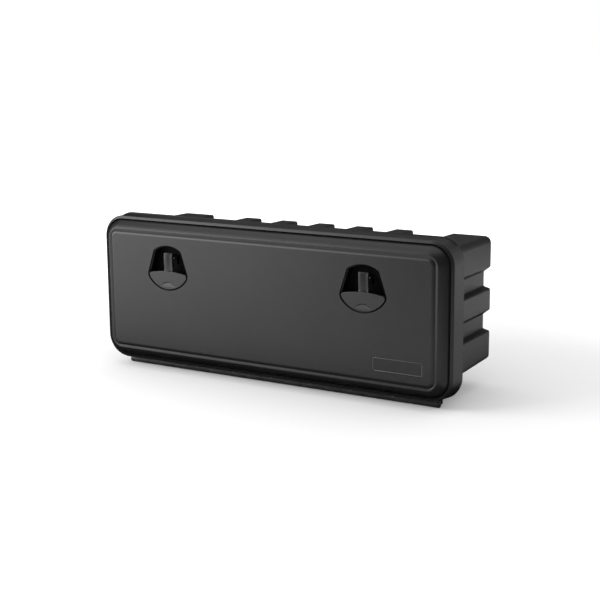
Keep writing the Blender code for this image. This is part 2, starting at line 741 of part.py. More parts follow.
def make_strikes():
    """Angle plates under the rim; the bolts hook behind their down-turned lips."""
    top = MOUTH_HIGH - PLAY
    low = top - STRIKE_DROP
    rear = STRIKE_Y + STRIKE_LEG
    outline = [(STRIKE_Y, low), (STRIKE_Y + STRIKE_THICK, low),
               (STRIKE_Y + STRIKE_THICK, top - STRIKE_THICK), (rear, top - STRIKE_THICK),
               (rear, top), (STRIKE_Y, top)]
    for name, x in (("left", -LATCH_X), ("right", LATCH_X)):
        strike = side_prism("strike_plate_" + name, outline, x - STRIKE_HALF, x + STRIKE_HALF)
        give_finish(strike, STEEL)
        holes = [((px, py, pz - OVERRUN), STRIKE_THICK + 2 * OVERRUN)
                 for px, py, pz in strike_rivet_places() if abs(px - x) < STRIKE_HALF]
        cut(strike, rods("strike_holes_" + name, RIVET_RADIUS + PLAY, holes, (0, 0, 1)))
    sizes = (RIVET_HEAD_RADIUS, RIVET_HEAD, RIVET_RADIUS, RIVET_GRIP + STRIKE_THICK - PLAY)
    places = [(x, y, z - PLAY) for x, y, z in strike_rivet_places()]
    fasteners("strike_rivet", places, (0, 0, 1), sizes, STEEL)


def knuckle_spans():
    """X spans of the body's knuckles, and of the lid's knuckles between and beyond them."""
    count = 2 * KNUCKLES_EACH_SIDE
    fixed = []
    for k in range(count):
        centre = (k - (count - 1) / 2) * RIB_PITCH
        fixed.append((centre - KNUCKLE_WIDTH / 2, centre + KNUCKLE_WIDTH / 2))
    ends = [-STRIP_HALF] + [x for span in fixed for x in span] + [STRIP_HALF]
    moving = []
    for left, right in zip(ends[::2], ends[1::2]):
        left_gap = KNUCKLE_GAP if left > -STRIP_HALF else 0.0
        right_gap = KNUCKLE_GAP if right < STRIP_HALF else 0.0
        moving.append((left + left_gap, right - right_gap))
    return fixed, moving


def barrels(name, spans):
    """Hinge barrels with one flat of their outline level with the ground."""
    bm = bmesh.new()
    corner = BARREL_RADIUS / cos(pi / BARREL_SIDES)
    for left, right in spans:
        angles = [2 * pi * (k + 0.5) / BARREL_SIDES for k in range(BARREL_SIDES)]
        ring = [(HINGE_Y + corner * cos(a), HINGE_Z + corner * sin(a)) for a in angles]
        loft(bm, [[(x, y, z) for y, z in ring] for x in (left, right)])
    return put_object(name, to_mesh(bm, name))


def comb(edge_y, notch_y, tip_y, teeth):
    """Leaf seen from above: a plain edge, and teeth that reach out to the barrels."""
    points = [(STRIP_HALF, edge_y), (-STRIP_HALF, edge_y)]
    for left, right in teeth:
        points += [(left, notch_y), (left, tip_y), (right, tip_y), (right, notch_y)]
    if teeth[0][0] > -STRIP_HALF:
        points.insert(2, (-STRIP_HALF, notch_y))
        points.append((STRIP_HALF, notch_y))
    else:
        points.remove((-STRIP_HALF, notch_y))
        points.remove((STRIP_HALF, notch_y))
    return points


def lid_hinge_leaf(teeth):
    """Leaf against the sloping underside of the skirt, notched round the fixed barrels."""
    notch = HINGE_Y - BARREL_RADIUS - LID_LEAF_NOTCH
    outline = comb(LIP_Y + LID_LEAF_FRONT, notch, HINGE_Y, teeth)
    top = [(x, y, skirt_bottom(y - LIP_Y) - PLAY) for x, y in outline]
    low = [(x, y, z - LEAF_THICK) for x, y, z in top]
    bm = bmesh.new()
    loft(bm, [low, top])
    leaf = put_object("lid_hinge_leaf", to_mesh(bm, "lid_hinge_leaf"), BLACK_STEEL,
                      (0.0, HINGE_Y, HINGE_Z))
    join(leaf, barrels("lid_barrels_tool", teeth))
    return leaf


def body_hinge_leaf(teeth):
    """Angle leaf: flat behind the barrels, then upright against the rail of the body."""
    upright = SKIRT_Y + BODY_LEAF_GAP
    flat_top = HINGE_Z - BODY_LEAF_DROP
    flat_low = flat_top - LEAF_THICK
    notch = HINGE_Y + BARREL_RADIUS + BODY_LEAF_NOTCH
    outline = comb(upright + LEAF_THICK / 2, notch, HINGE_Y + PIN_RADIUS, teeth)
    bm = bmesh.new()
    loft(bm, [[(x, y, z) for x, y in outline] for z in (flat_low, flat_top)])
    leaf = put_object("body_hinge_leaf", to_mesh(bm, "body_hinge_leaf"), BLACK_STEEL)
    join(leaf, barrels("body_barrels_tool", teeth))
    wall_half = STRIP_HALF - PLAY
    join(leaf, box("upright_tool", (-wall_half, upright, flat_low - PLAY),
                   (wall_half, upright + LEAF_THICK, flat_low + BODY_LEAF_HEIGHT)))
    return leaf


def make_hinge():
    fixed, moving = knuckle_spans()
    bore = [((-STRIP_HALF - OVERRUN, HINGE_Y, HINGE_Z), 2 * (STRIP_HALF + OVERRUN))]
    hole = LEAF_THICK + 2 * OVERRUN
    leaves = ((lid_hinge_leaf(moving), lid_rivet_places(), (0, 0, 1)),
              (body_hinge_leaf(fixed), body_rivet_places(), (0, 1, 0)))
    for leaf, places, axis in leaves:
        cut(leaf, rods(leaf.name + "_bore", PIN_RADIUS + PLAY, bore, (1, 0, 0)))
        starts = [(tuple(Vector(place) - OVERRUN * Vector(axis)), hole) for place in places]
        cut(leaf, rods(leaf.name + "_holes", RIVET_RADIUS + PLAY, starts, axis))
        smooth(leaf)
    pin_start = (-STRIP_HALF, HINGE_Y, HINGE_Z)
    smooth(rods("hinge_pin", PIN_RADIUS, [(pin_start, 2 * STRIP_HALF)], (1, 0, 0), STEEL))
    sizes = (RIVET_HEAD_RADIUS, RIVET_HEAD, RIVET_RADIUS, RIVET_GRIP + LEAF_THICK - PLAY)
    lid_places = [(x, y, z - PLAY) for x, y, z in lid_rivet_places()]
    fasteners("lid_hinge_rivet", lid_places, (0, 0, 1), sizes, STEEL)
    body_places = [(x, y - PLAY, z) for x, y, z in body_rivet_places()]
    fasteners("body_hinge_rivet", body_places, (0, 1, 0), sizes, STEEL)


def make_gasket(side, x):
    bm = bmesh.new()
    outer = placed(latch_outline(-GASKET_OUT), x, LATCH_LOW_Z)
    inner = placed(latch_outline(LEDGE), x, LATCH_LOW_Z)
    rear = GASKET_Y + GASKET_THICK
    rings = [at_depth(outer, GASKET_Y), at_depth(outer, rear), at_depth(inner, rear),
             at_depth(inner, GASKET_Y)]
    loft(bm, rings, cyclic=True)
    put_object("latch_gasket_" + side, to_mesh(bm, "latch_gasket_" + side), RUBBER)


def lug_outline():
    """Side view of the lug that carries the pivot pin, from the cup's floor forward."""
    nose = arc(PIVOT_Y, PIVOT_Z, LUG_RADIUS, pi / 2, 3 * pi / 2, ARC_STEPS)
    root = CUP_FLOOR_Y + CUP_FLOOR / 2
    return nose + [(root, PIVOT_Z - LUG_RADIUS), (root, PIVOT_Z + LUG_RADIUS)]


def make_housing(side, x):
    name = "latch_housing_" + side
    shell = placed(latch_outline(LEDGE - CUP_WALL), x, LATCH_LOW_Z)
    housing = prism(name, shell, CUP_Y, CUP_REAR_Y, LATCH_PLASTIC)
    flange = round_rectangle(CUP_FLANGE_HALF, LATCH_LOW_Z,
                             CUP_FLANGE_HIGH_Z, CUP_FLANGE_CORNER, x)
    join(housing, prism("flange_tool_" + side, flange, CUP_FLANGE_Y,
                        CUP_FLANGE_Y + CUP_FLANGE_THICK))
    well = placed(latch_outline(LEDGE), x, LATCH_LOW_Z)
    cut(housing, prism("well_tool_" + side, well, CUP_Y - OVERRUN, CUP_FLOOR_Y))
    cheek_inner = STEM_WIDTH / 2 - CHEEK_THICK
    lug = cheek_inner - LUG_GAP
    join(housing, side_prism("lug_tool_" + side, lug_outline(), x - lug, x + lug))
    slot_top = PIVOT_Z + ARM_HEIGHT / 2 + SLOT_MARGIN / 2
    slot_low = PIVOT_Z - HANDLE_OPEN_DROP + SLOT_MARGIN
    for hand in (-1, 1):
        near = x + hand * (cheek_inner - LUG_GAP / 2)
        far = x + hand * (STEM_WIDTH / 2 + LUG_GAP)
        low_x, high_x = sorted((near, far))
        cut(housing, box("arm_slot_" + side + str(hand), (low_x, CUP_FLOOR_Y - OVERRUN, slot_low),
                         (high_x, CUP_REAR_Y + OVERRUN, slot_top)))
    pin_half = STEM_WIDTH / 2
    cut(housing, rods("lug_bore_" + side, PIVOT_RADIUS + PLAY,
                      [((x - pin_half, PIVOT_Y, PIVOT_Z), 2 * pin_half)], (1, 0, 0)))
    holes = [((px, CUP_FLANGE_Y - OVERRUN, pz), CUP_FLANGE_THICK + 2 * OVERRUN)
             for px, pz in boss_places(x)]
    cut(housing, rods("flange_holes_" + side, SCREW_RADIUS + PLAY, holes, (0, 1, 0)))
    blind = [((px, CUP_REAR_Y - CUP_FLOOR + PLAY, pz), CUP_FLOOR + OVERRUN)
             for px, pz in guide_screw_places(x)]
    cut(housing, rods("floor_holes_" + side, SCREW_RADIUS + PLAY, blind, (0, 1, 0)))
    smooth(housing)
    head_y = CUP_FLANGE_Y + CUP_FLANGE_THICK + PLAY
    places = [(px, head_y, pz) for px, pz in boss_places(x)]
    reach = head_y - CUP_FLANGE_Y + SCREW_BITE - PLAY
    fasteners("housing_screw_" + side, places, (0, -1, 0),
              (SCREW_HEAD_RADIUS, SCREW_HEAD, SCREW_RADIUS, reach), STEEL)


def guide_screw_places(x):
    return [(x + hand * GUIDE_SCREW_SIDE, PIVOT_Z + up) for hand in (-1, 1)
            for up in (-GUIDE_SCREW_DROP, GUIDE_SCREW_RISE)]


def make_guide(side, x):
    name = "bolt_guide_" + side
    low = PIVOT_Z - GUIDE_LOW_DROP
    high = PIVOT_Z + GUIDE_RISE
    guide = box(name, (x - GUIDE_HALF, GUIDE_Y, low), (x + GUIDE_HALF, GUIDE_Y + GUIDE_PLATE, high))
    give_finish(guide, LATCH_PLASTIC)
    back = BOLT_REAR_Y + BOLT_PLAY + GUIDE_BACK
    join(guide, box("block_tool_" + side, (x - GUIDE_BLOCK_HALF, GUIDE_Y + PLAY,
                                           PIVOT_Z + GUIDE_BLOCK_RISE),
                    (x + GUIDE_BLOCK_HALF, back, high)))
    join(guide, box("seat_tool_" + side, (x - GUIDE_SEAT_HALF, GUIDE_Y + PLAY,
                                          PIVOT_Z - GUIDE_SEAT_DROP - GUIDE_SEAT_HEIGHT),
                    (x + GUIDE_SEAT_HALF, back, PIVOT_Z - GUIDE_SEAT_DROP)))
    wide = BOLT_HALF + BOLT_PLAY
    cut(guide, box("wide_slot_" + side, (x - wide, BOLT_Y - BOLT_PLAY,
                                         PIVOT_Z - GUIDE_SEAT_DROP + OVERRUN),
                   (x + wide, BOLT_REAR_Y + BOLT_PLAY, high + OVERRUN)))
    tail = BOLT_TAIL_HALF + BOLT_PLAY
    cut(guide, box("tail_slot_" + side, (x - tail, BOLT_Y - BOLT_PLAY, low - OVERRUN),
                   (x + tail, BOLT_REAR_Y + BOLT_PLAY, high)))
    window_half = STEM_WIDTH / 2 + LUG_GAP + PLAY
    window_low = PIVOT_Z - HANDLE_OPEN_DROP - SLOT_MARGIN
    cut(guide, box("window_" + side, (x - window_half, GUIDE_Y - OVERRUN, window_low),
                   (x + window_half, BOLT_Y, PIVOT_Z + GUIDE_BLOCK_RISE)))
    holes = [((px, GUIDE_Y - OVERRUN, pz), GUIDE_PLATE + 2 * OVERRUN)
             for px, pz in guide_screw_places(x)]
    cut(guide, rods("guide_holes_" + side, SCREW_RADIUS + PLAY, holes, (0, 1, 0)))
    smooth(guide)
    head_y = GUIDE_Y + GUIDE_PLATE + PLAY
    places = [(px, head_y, pz) for px, pz in guide_screw_places(x)]
    reach = GUIDE_PLATE + CUP_FLOOR - PLAY
    fasteners("guide_screw_" + side, places, (0, -1, 0),
              (SCREW_HEAD_RADIUS, SCREW_HEAD, SCREW_RADIUS, reach), STEEL)


def crescent_outline():
    """The part of the latch outline below the pull's gently curved upper edge."""
    radius = ((LATCH_WIDTH / 2) ** 2 + CRESCENT_TOP_RISE ** 2) / (2 * CRESCENT_TOP_RISE)
    centre_z = CRESCENT_TOP - radius
    lower = [p for p in latch_outline(HANDLE_GAP)
             if p[1] < centre_z + sqrt(radius ** 2 - p[0] ** 2) - CHEEK_THICK / 2]
    right = [p for p in lower if p[0] > 0]
    left = [p for p in lower if p[0] <= 0]
    reach = asin(max(p[0] for p in right) / radius)
    start = arc(0.0, centre_z, radius, pi / 2 - reach, pi / 2 + reach, 2 * ARC_STEPS)
    right.sort(key=lambda p: (p[1], p[0]))
    left.sort(key=lambda p: (-p[1], p[0]))
    return right + start[1:-1] + left


def cheek_outline():
    """Side view of a cheek: stem in front, arm behind the pivot."""
    front = FRONT_Y + STEM_SET_BACK
    back = front + STEM_DEPTH
    top = PIVOT_Z + STEM_RISE
    low = LATCH_LOW_Z + CRESCENT_TOP - CRESCENT_TOP_RISE
    arm_end = PIVOT_Y + ARM_LENGTH
    arm_low = PIVOT_Z - ARM_HEIGHT / 2
    arm_top = PIVOT_Z + ARM_HEIGHT / 2
    hub = PIVOT_Y + LUG_RADIUS + PLAY
    return [(front, low), (back, low), (back, arm_low - ARM_HEIGHT), (hub, arm_low),
            (arm_end, arm_low), (arm_end, arm_top), (hub, arm_top), (PIVOT_Y, top), (front, top)]


def thumb_cutter(side, x):
    """Scoop with a steep arched upper edge, running out flush toward the lower edge."""
    centre_z = LATCH_LOW_Z + THUMB_TOP - THUMB_RADIUS
    low = LATCH_LOW_Z + THUMB_LOW
    high = LATCH_LOW_Z + THUMB_TOP
    reach = asin((low - centre_z) / THUMB_RADIUS)
    outline = arc(x, centre_z, THUMB_RADIUS, reach, pi - reach, 2 * ARC_STEPS)
    slope = THUMB_DEPTH / (high - low)
    bm = bmesh.new()
    loft(bm, [at_depth(outline, FRONT_Y - OVERRUN),
              [(px, FRONT_Y + slope * (pz - low), pz) for px, pz in outline]])
    return put_object("thumb_tool_" + side, to_mesh(bm, "thumb_tool_" + side))


def make_handle(side, x):
    name = "latch_handle_" + side
    outline = placed(crescent_outline(), x, LATCH_LOW_Z)
    handle = prism(name, outline, FRONT_Y, FRONT_Y + CRESCENT_THICK, LATCH_PLASTIC,
                   (x, PIVOT_Y, PIVOT_Z))
    half = STEM_WIDTH / 2
    inner = half - CHEEK_THICK
    for hand, left in (("left", x - half), ("right", x + inner)):
        join(handle, side_prism("cheek_" + hand + "_tool_" + side, cheek_outline(), left,
                                left + CHEEK_THICK))
    front = FRONT_Y + STEM_SET_BACK
    low = LATCH_LOW_Z + CRESCENT_TOP - CRESCENT_TOP_RISE
    top = PIVOT_Z + STEM_RISE
    side_overlap = inner + CHEEK_THICK / 2
    join(handle, box("web_tool_" + side, (x - side_overlap, front + WEB_SET_BACK, low + PLAY),
                     (x + side_overlap, front + WEB_SET_BACK + WEB_THICK - PLAY,
                      top - STEM_BRIDGE / 2)))
    join(handle, box("bridge_tool_" + side, (x - side_overlap, front + PLAY, top - STEM_BRIDGE),
                     (x + side_overlap, front + STEM_DEPTH - PLAY, top - PLAY)))
    cut(handle, thumb_cutter(side, x))
    pin_half = half + PIVOT_PROUD
    cut(handle, rods("handle_bore_" + side, PIVOT_RADIUS + PLAY,
                     [((x - pin_half, PIVOT_Y, PIVOT_Z), 2 * pin_half)], (1, 0, 0)))
    smooth(handle)
    smooth(rods("pivot_pin_" + side, PIVOT_RADIUS, [((x - pin_half, PIVOT_Y, PIVOT_Z), 2 * pin_half)],
                (1, 0, 0), STEEL, origin=(x, PIVOT_Y, PIVOT_Z)))


def make_bolt(side, x):
    """Flat bolt: hooked nose, neck between the arms, ears under the arms, tail in the spring."""
    ear_top = PIVOT_Z - ARM_HEIGHT / 2 - BOLT_PLAY
    shoulder = PIVOT_Z + BOLT_SHOULDER
    ear_low = ear_top - BOLT_EAR_HEIGHT
    tip = MOUTH_HIGH - BOLT_TIP_GAP
    tail = PIVOT_Z - BOLT_TAIL_DROP
    right = [(BOLT_TAIL_HALF, tail), (BOLT_TAIL_HALF, ear_low), (BOLT_EAR_HALF, ear_low),
             (BOLT_EAR_HALF, ear_top), (BOLT_NECK_HALF, ear_top), (BOLT_NECK_HALF, shoulder),
             (BOLT_HALF, shoulder), (BOLT_HALF, tip)]
    outline = right + [(-px, pz) for px, pz in right][::-1]
    name = "latch_bolt_" + side
    bolt = prism(name, placed(outline, x, 0.0), BOLT_Y, BOLT_REAR_Y, STEEL)
    ramp = [(BOLT_REAR_Y - BOLT_RAMP_DEPTH, tip + PLAY), (BOLT_REAR_Y + PLAY, tip - BOLT_RAMP_HEIGHT),
            (BOLT_REAR_Y + OVERRUN, tip + OVERRUN)]
    cut(bolt, side_prism("ramp_tool_" + side, ramp, x - BOLT_EAR_HALF, x + BOLT_EAR_HALF))


def make_spring(side, x):
    """Compression spring round the bolt's tail, between the guide's seat and the ears."""
    low = PIVOT_Z - GUIDE_SEAT_DROP + PLAY + SPRING_WIRE
    ear_low = PIVOT_Z - ARM_HEIGHT / 2 - BOLT_PLAY - BOLT_EAR_HEIGHT
    high = ear_low - PLAY - SPRING_WIRE
    curve = bpy.data.curves.new("return_spring_" + side, "CURVE")
    curve.dimensions = "3D"
    curve.bevel_depth = SPRING_WIRE
    curve.bevel_resolution = 1
    curve.use_fill_caps = True
    count = SPRING_TURNS * SPRING_STEPS
    spline = curve.splines.new("POLY")
    spline.points.add(count)
    middle = (BOLT_Y + BOLT_REAR_Y) / 2
    for k in range(count + 1):
        angle = 2 * pi * k / SPRING_STEPS
        spline.points[k].co = (x + SPRING_RADIUS * cos(angle), middle + SPRING_RADIUS * sin(angle),
                               low + (high - low) * k / count, 1.0)
    item = bpy.data.objects.new("return_spring_" + side, curve)
    bpy.context.scene.collection.objects.link(item)
    give_finish(item, STEEL)


def main():
    clear_scene()
    make_body()
    make_strikes()
    make_hinge()
    make_lid()
    make_seal()
    make_badge()
    for side, x in (("left", -LATCH_X), ("right", LATCH_X)):
        make_gasket(side, x)
        make_housing(side, x)
        make_guide(side, x)
        make_handle(side, x)
        make_bolt(side, x)
        make_spring(side, x)


main()
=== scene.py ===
import json
from math import asin, atan2, cos, pi, radians, sin, sqrt, tan

import bmesh
import bpy
import numpy as np
from mathutils import Matrix, Vector

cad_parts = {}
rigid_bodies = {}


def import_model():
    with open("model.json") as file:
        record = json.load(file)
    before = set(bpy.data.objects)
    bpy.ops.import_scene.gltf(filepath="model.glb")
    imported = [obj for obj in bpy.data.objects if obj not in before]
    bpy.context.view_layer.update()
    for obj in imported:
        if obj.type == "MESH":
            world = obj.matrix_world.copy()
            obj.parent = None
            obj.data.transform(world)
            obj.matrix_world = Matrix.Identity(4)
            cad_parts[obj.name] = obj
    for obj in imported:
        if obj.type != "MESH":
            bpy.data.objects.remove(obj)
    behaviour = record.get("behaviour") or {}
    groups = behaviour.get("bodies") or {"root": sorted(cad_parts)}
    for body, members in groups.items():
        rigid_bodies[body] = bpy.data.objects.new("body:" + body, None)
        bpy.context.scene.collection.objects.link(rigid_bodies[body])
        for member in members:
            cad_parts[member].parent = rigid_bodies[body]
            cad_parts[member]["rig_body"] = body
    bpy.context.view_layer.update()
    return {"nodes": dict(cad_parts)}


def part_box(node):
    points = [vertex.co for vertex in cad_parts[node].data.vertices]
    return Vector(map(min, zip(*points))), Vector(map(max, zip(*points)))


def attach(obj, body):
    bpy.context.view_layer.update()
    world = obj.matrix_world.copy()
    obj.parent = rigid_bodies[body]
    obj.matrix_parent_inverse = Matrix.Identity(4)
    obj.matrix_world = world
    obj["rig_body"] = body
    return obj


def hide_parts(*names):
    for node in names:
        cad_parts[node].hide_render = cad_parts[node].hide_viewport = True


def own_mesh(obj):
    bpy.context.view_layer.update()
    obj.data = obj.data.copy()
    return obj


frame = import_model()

# Looks for the side-mounted tool box: finer shells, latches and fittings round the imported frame.
# Metres throughout; X runs along the box, -Y is its front, Z is up and the feet stand on Z = 0.
# An outline is an array of points (x, z); depth runs along Y, from the front backward.

# Lid shell
LID_WIDTH = 0.750
DEPTH = 0.238
LID_HEIGHT = 0.2843
LID_LOW = 0.014
PLAY = 0.0003
PANEL_PROUD = 0.017
SKIRT_DEPTH = 0.037
SIDE_FLARE = 0.00235
TOP_FLARE = 0.0030
LID_CORNER = 0.043
LID_WALL = 0.0035
LIP_WIDTH = 0.0048
LIP_LEAN = 0.50
LIP_ROUND = 0.0016
VALLEY_WIDTH = 0.0032
VALLEY_DEPTH = 0.0042
BORDER_WIDTH = 0.0135
BORDER_FALL = 0.0008
BORDER_BOW = 0.36
CREST_ROUND = 0.0012
# Section over the crest, (inward, back), as shares of CREST_ROUND
CREST_PROFILE = ((-0.55, 0.24), (-0.2, 0.06), (0.3, 0.0), (0.9, 0.03), (1.8, 0.16))
PANEL_INSET = 0.0334
PANEL_CORNER = 0.006
PANEL_ROLL = 0.0067
PANEL_RAISE = 0.003
CHANNEL_DEPTH = 0.0012
CHANNEL_FRONT = 0.005
CHANNEL_REAR_RIM = 0.003
OPENING_ROUND = 0.0006
SEAL_INNER = 0.0025
SEAL_OUTER = 0.0065
SEAL_RIB = 0.0025
SEAL_RIB_SET_BACK = 0.0015
SEAL_GAP = 0.0003

# Body shell
BODY_SIDE_INSET = 0.0246
BODY_DRAFT = 0.0055
BODY_TOP_INSET = 0.0225
BODY_TOP_DRAFT = 0.001
BODY_LOW_RISE = 0.0278
BODY_LOW_DRAFT = 0.0045
BODY_WALL = 0.004
BODY_TOP_ROUND = 0.012
BODY_LOW_ROUND = 0.009
REAR_ROUND = 0.003
GROOVE_DEPTH = 0.0129
GROOVE_LEAN = 0.001
RIB_PITCH = 0.0846
RIB_WIDTH = 0.0364
RIBS_EACH_SIDE = 2
CORNER_RIB_WIDTH = 0.0824
RIB_EDGE = 0.0035
GROOVE_ROOT = 0.0018
SIDE_GROOVE_TOP_SHARES = (0.4205, 0.7581)
SIDE_GROOVE_OPENING = 0.0402
SIDE_GROOVE_DROP = 0.0102
SIDE_GROOVE_RISE = 0.0034
MOUTH_STEP = 0.001
MOUTH_CORNER = 0.014
RIM_WALL = 0.004
RIM_ROUND = 0.0012
RIM_SET_BACK = 0.0008
FLANGE_FRONT = 0.024
FLANGE_THICK = 0.004
FLANGE_GAP = 0.0016
FLANGE_LOW_GAP = 0.0072
STRIP_INSET = 0.038
LEAF_THICK = 0.0018
BODY_LEAF_GAP = 0.0024
RAIL_THICK = 0.0055
RAIL_END_INSET = 0.004
RAIL_LOW = 0.0075
FOOT_SOLE_THICK = 0.005
FOOT_WEB = 0.008
FOOT_FRONT = 0.066
FOOT_REAR_INSET = 0.007
FOOT_ROUND = 0.0015

# Latches
LATCH_SIDE_INSET = 0.1654
LATCH_TOP_DROP = 0.050
LATCH_WIDTH = 0.0922
LATCH_HEIGHT = 0.0863
LATCH_ARC = 0.054
SHOULDER_SHARE = 0.683
SHOULDER_BEND_SHARE = 0.94
HIP_TOP_SHARE = 0.405
HIP_LOW_SHARE = 0.247
HIP_SHARE = 0.983
HIP_BULGE_SHARE = 1.033
GASKET_THICK = 0.0015
GASKET_OUT = 0.003
LEDGE = 0.0016
CUP_WALL = 0.0022
CUP_FLOOR_DEPTH = 0.023
CUP_FLOOR = 0.0035
CUP_ROUND = 0.0025
CUP_FLANGE_HALF = 0.050
CUP_FLANGE_TOP_DROP = 0.0083
CUP_FLANGE_CORNER = 0.008
CUP_FLANGE_DEPTH = 0.012
CUP_FLANGE_THICK = 0.0025
BOSS_RADIUS = 0.005
BOSS_SIDE = 0.0432
BOSS_INSET = 0.007
SCREW_RADIUS = 0.0016
HANDLE_GAP = 0.0027
CRESCENT_THICK = 0.0048
CRESCENT_TOP = 0.0373
CRESCENT_TOP_RISE = 0.0053
CRESCENT_ROUND = 0.0011
CRESCENT_CORNER = 0.0040
THUMB_RADIUS = 0.0201
THUMB_TOP = 0.0172
THUMB_LOW = 0.008
THUMB_DEPTH = 0.0022
THUMB_WALL_SHARE = 0.75
THUMB_DRAW_IN = (0.20, 0.34)
STEM_WIDTH = 0.020
STEM_RISE = 0.009
STEM_DEPTH = 0.0080
STEM_WAIST = 0.0026
STEM_CROWN = 0.0008
STEM_TOP_FALL = 0.0008
CROWN_SHARE = 0.67
STEM_FILLET = 0.0012
CHANNEL_END = 0.0030
BAR_REAR = 0.0044
CHEEK_THICK = 0.0038
CHEEK_ROUND = 0.0006
CHEEK_TOP_ROUND = 0.003
CHEEK_SOFT = 0.0005
PIVOT_DEPTH = 0.0085
PIVOT_DROP = 0.0233
PIVOT_RADIUS = 0.002
PIVOT_PROUD = 0.0012
PIVOT_DOME_START = 0.15
LUG_RADIUS = 0.0038
LUG_GAP = 0.0004
ARM_LENGTH = 0.031
ARM_HEIGHT = 0.005
ARM_ROUND = 0.001
ARM_ROOT = 0.002
HANDLE_OPEN_DROP = 0.0163
SLOT_MARGIN = 0.0016
SPRING_WIRE = 0.00045
SPRING_TURNS = 6
SPRING_END_SHARE = 0.08

# Badge plate, left bare
BADGE_SIDE_INSET = 0.0982
BADGE_RISE = 0.061
BADGE_WIDTH = 0.0966
BADGE_HEIGHT = 0.025
BADGE_CORNER = 0.003
BADGE_THICK = 0.0014
BADGE_RIM = 0.0022

# Rivets, as shares of the head's radius; the dome's depth is one of the head's height, and the
# end one of the shank's radius
RIVET_HEAD = 0.375
RIVET_SHANK = 0.5
RIVET_CAP = 0.25
RIVET_DOME_DEPTH = 0.92
RIVET_END = 0.7

# Screws, as shares of the head's radius; the three depths are shares of the head's height, and
# the end one of the shank's radius
SCREW_HEAD = 0.59
SCREW_SHANK = 0.47
SCREW_DOME = (0.3, 0.5, 0.7, 0.85, 0.95)
SCREW_DOME_DEPTH = 0.7
SCREW_EDGE_DEPTH = 0.62
RECESS_ARM = 0.55
RECESS_SLOT = 0.14
RECESS_DEPTH = 0.6
SCREW_END = 0.5

# Hinge and fittings
RIVETS_EACH_LEAF = 7
FASTENERS_EACH_SET = 4
PIN_CHAMFER = 0.3
FITTING_BEVEL = 0.0004
BEVEL_TURN = radians(40)

# Fineness
CORNER_STEPS = 20
ARC_STEPS = 14
SMALL_STEPS = 5
STEM_ROWS = 5 * ARC_STEPS
ROUND_SIDES = 28
FASTENER_SIDES = 20
SPRING_SIDES = 8
SPRING_TURN_STEPS = 24
OVERRUN = 0.002
SHARP_TURN = radians(32)
FLAT_WEIGHT = 100
MERGE = 1e-6
TINY_SINE = 1e-9
TINY_LENGTH = 1e-12
TANGENT_LIMIT = 0.49
MM_PER_METRE = 1000

# Places worked out from the sizes above
FRONT_Y = -DEPTH / 2
REAR_Y = DEPTH / 2
LIP_Y = FRONT_Y + PANEL_PROUD
SKIRT_Y = LIP_Y + SKIRT_DEPTH
BORDER_HEIGHT = PANEL_PROUD - PANEL_RAISE + BORDER_FALL
CREST = LIP_WIDTH + VALLEY_WIDTH + BORDER_WIDTH
LID_INNER_Y = FRONT_Y + LID_WALL
LIP_HALF = LID_WIDTH / 2 - SIDE_FLARE
LID_TOP = LID_LOW + LID_HEIGHT
LIP_LOW = LID_LOW + TOP_FLARE
LIP_HIGH = LID_TOP - TOP_FLARE
FLANGE_Y = LIP_Y + FLANGE_FRONT
FLANGE_REAR_Y = FLANGE_Y + FLANGE_THICK
RIM_Y = LIP_Y + RIM_SET_BACK
RAIL_HALF = LID_WIDTH / 2 - STRIP_INSET - RAIL_END_INSET
RAIL_Y = SKIRT_Y + BODY_LEAF_GAP + LEAF_THICK + PLAY
BODY_HALF = LID_WIDTH / 2 - BODY_SIDE_INSET
BODY_TOP = LID_TOP - BODY_TOP_INSET
BODY_LOW = LID_LOW + BODY_LOW_RISE
MOUTH_HALF = BODY_HALF - GROOVE_DEPTH - BODY_WALL - MOUTH_STEP
MOUTH_LOW = BODY_LOW + GROOVE_DEPTH + BODY_WALL + MOUTH_STEP
MOUTH_HIGH = BODY_TOP - GROOVE_DEPTH - BODY_WALL - MOUTH_STEP
LATCH_X = LID_WIDTH / 2 - LATCH_SIDE_INSET
LATCH_LOW_Z = LID_TOP - LATCH_TOP_DROP - LATCH_HEIGHT
BADGE_X = LID_WIDTH / 2 - BADGE_SIDE_INSET
BADGE_Z = LID_LOW + BADGE_RISE
PIVOT_Y = FRONT_Y + PIVOT_DEPTH
PIVOT_Z = LATCH_LOW_Z + LATCH_HEIGHT - PIVOT_DROP
GASKET_Y = LID_INNER_Y + PLAY
CUP_Y = GASKET_Y + GASKET_THICK + PLAY
CUP_FLOOR_Y = FRONT_Y + CUP_FLOOR_DEPTH
CUP_REAR_Y = CUP_FLOOR_Y + CUP_FLOOR
CUP_FLANGE_HIGH_Z = LATCH_LOW_Z + LATCH_HEIGHT - CUP_FLANGE_TOP_DROP
CUP_FLANGE_Y = FRONT_Y + CUP_FLANGE_DEPTH
SIDES = (("left", -LATCH_X), ("right", LATCH_X))


# Meshes

def new_object(name, data):
    """Object round a mesh, a lamp or a camera, or an empty for no data, in the scene."""
    item = bpy.data.objects.new(name, data)
    bpy.context.scene.collection.objects.link(item)
    return item


def weld(mesh):
    """Merge doubles, drop faces of no area and turn every face outward."""
    bm = bmesh.new()
    bm.from_mesh(mesh)
    bmesh.ops.remove_doubles(bm, verts=bm.verts, dist=MERGE)
    bmesh.ops.dissolve_degenerate(bm, edges=bm.edges, dist=MERGE)
    bmesh.ops.recalc_face_normals(bm, faces=bm.faces)
    bm.to_mesh(mesh)
    bm.free()


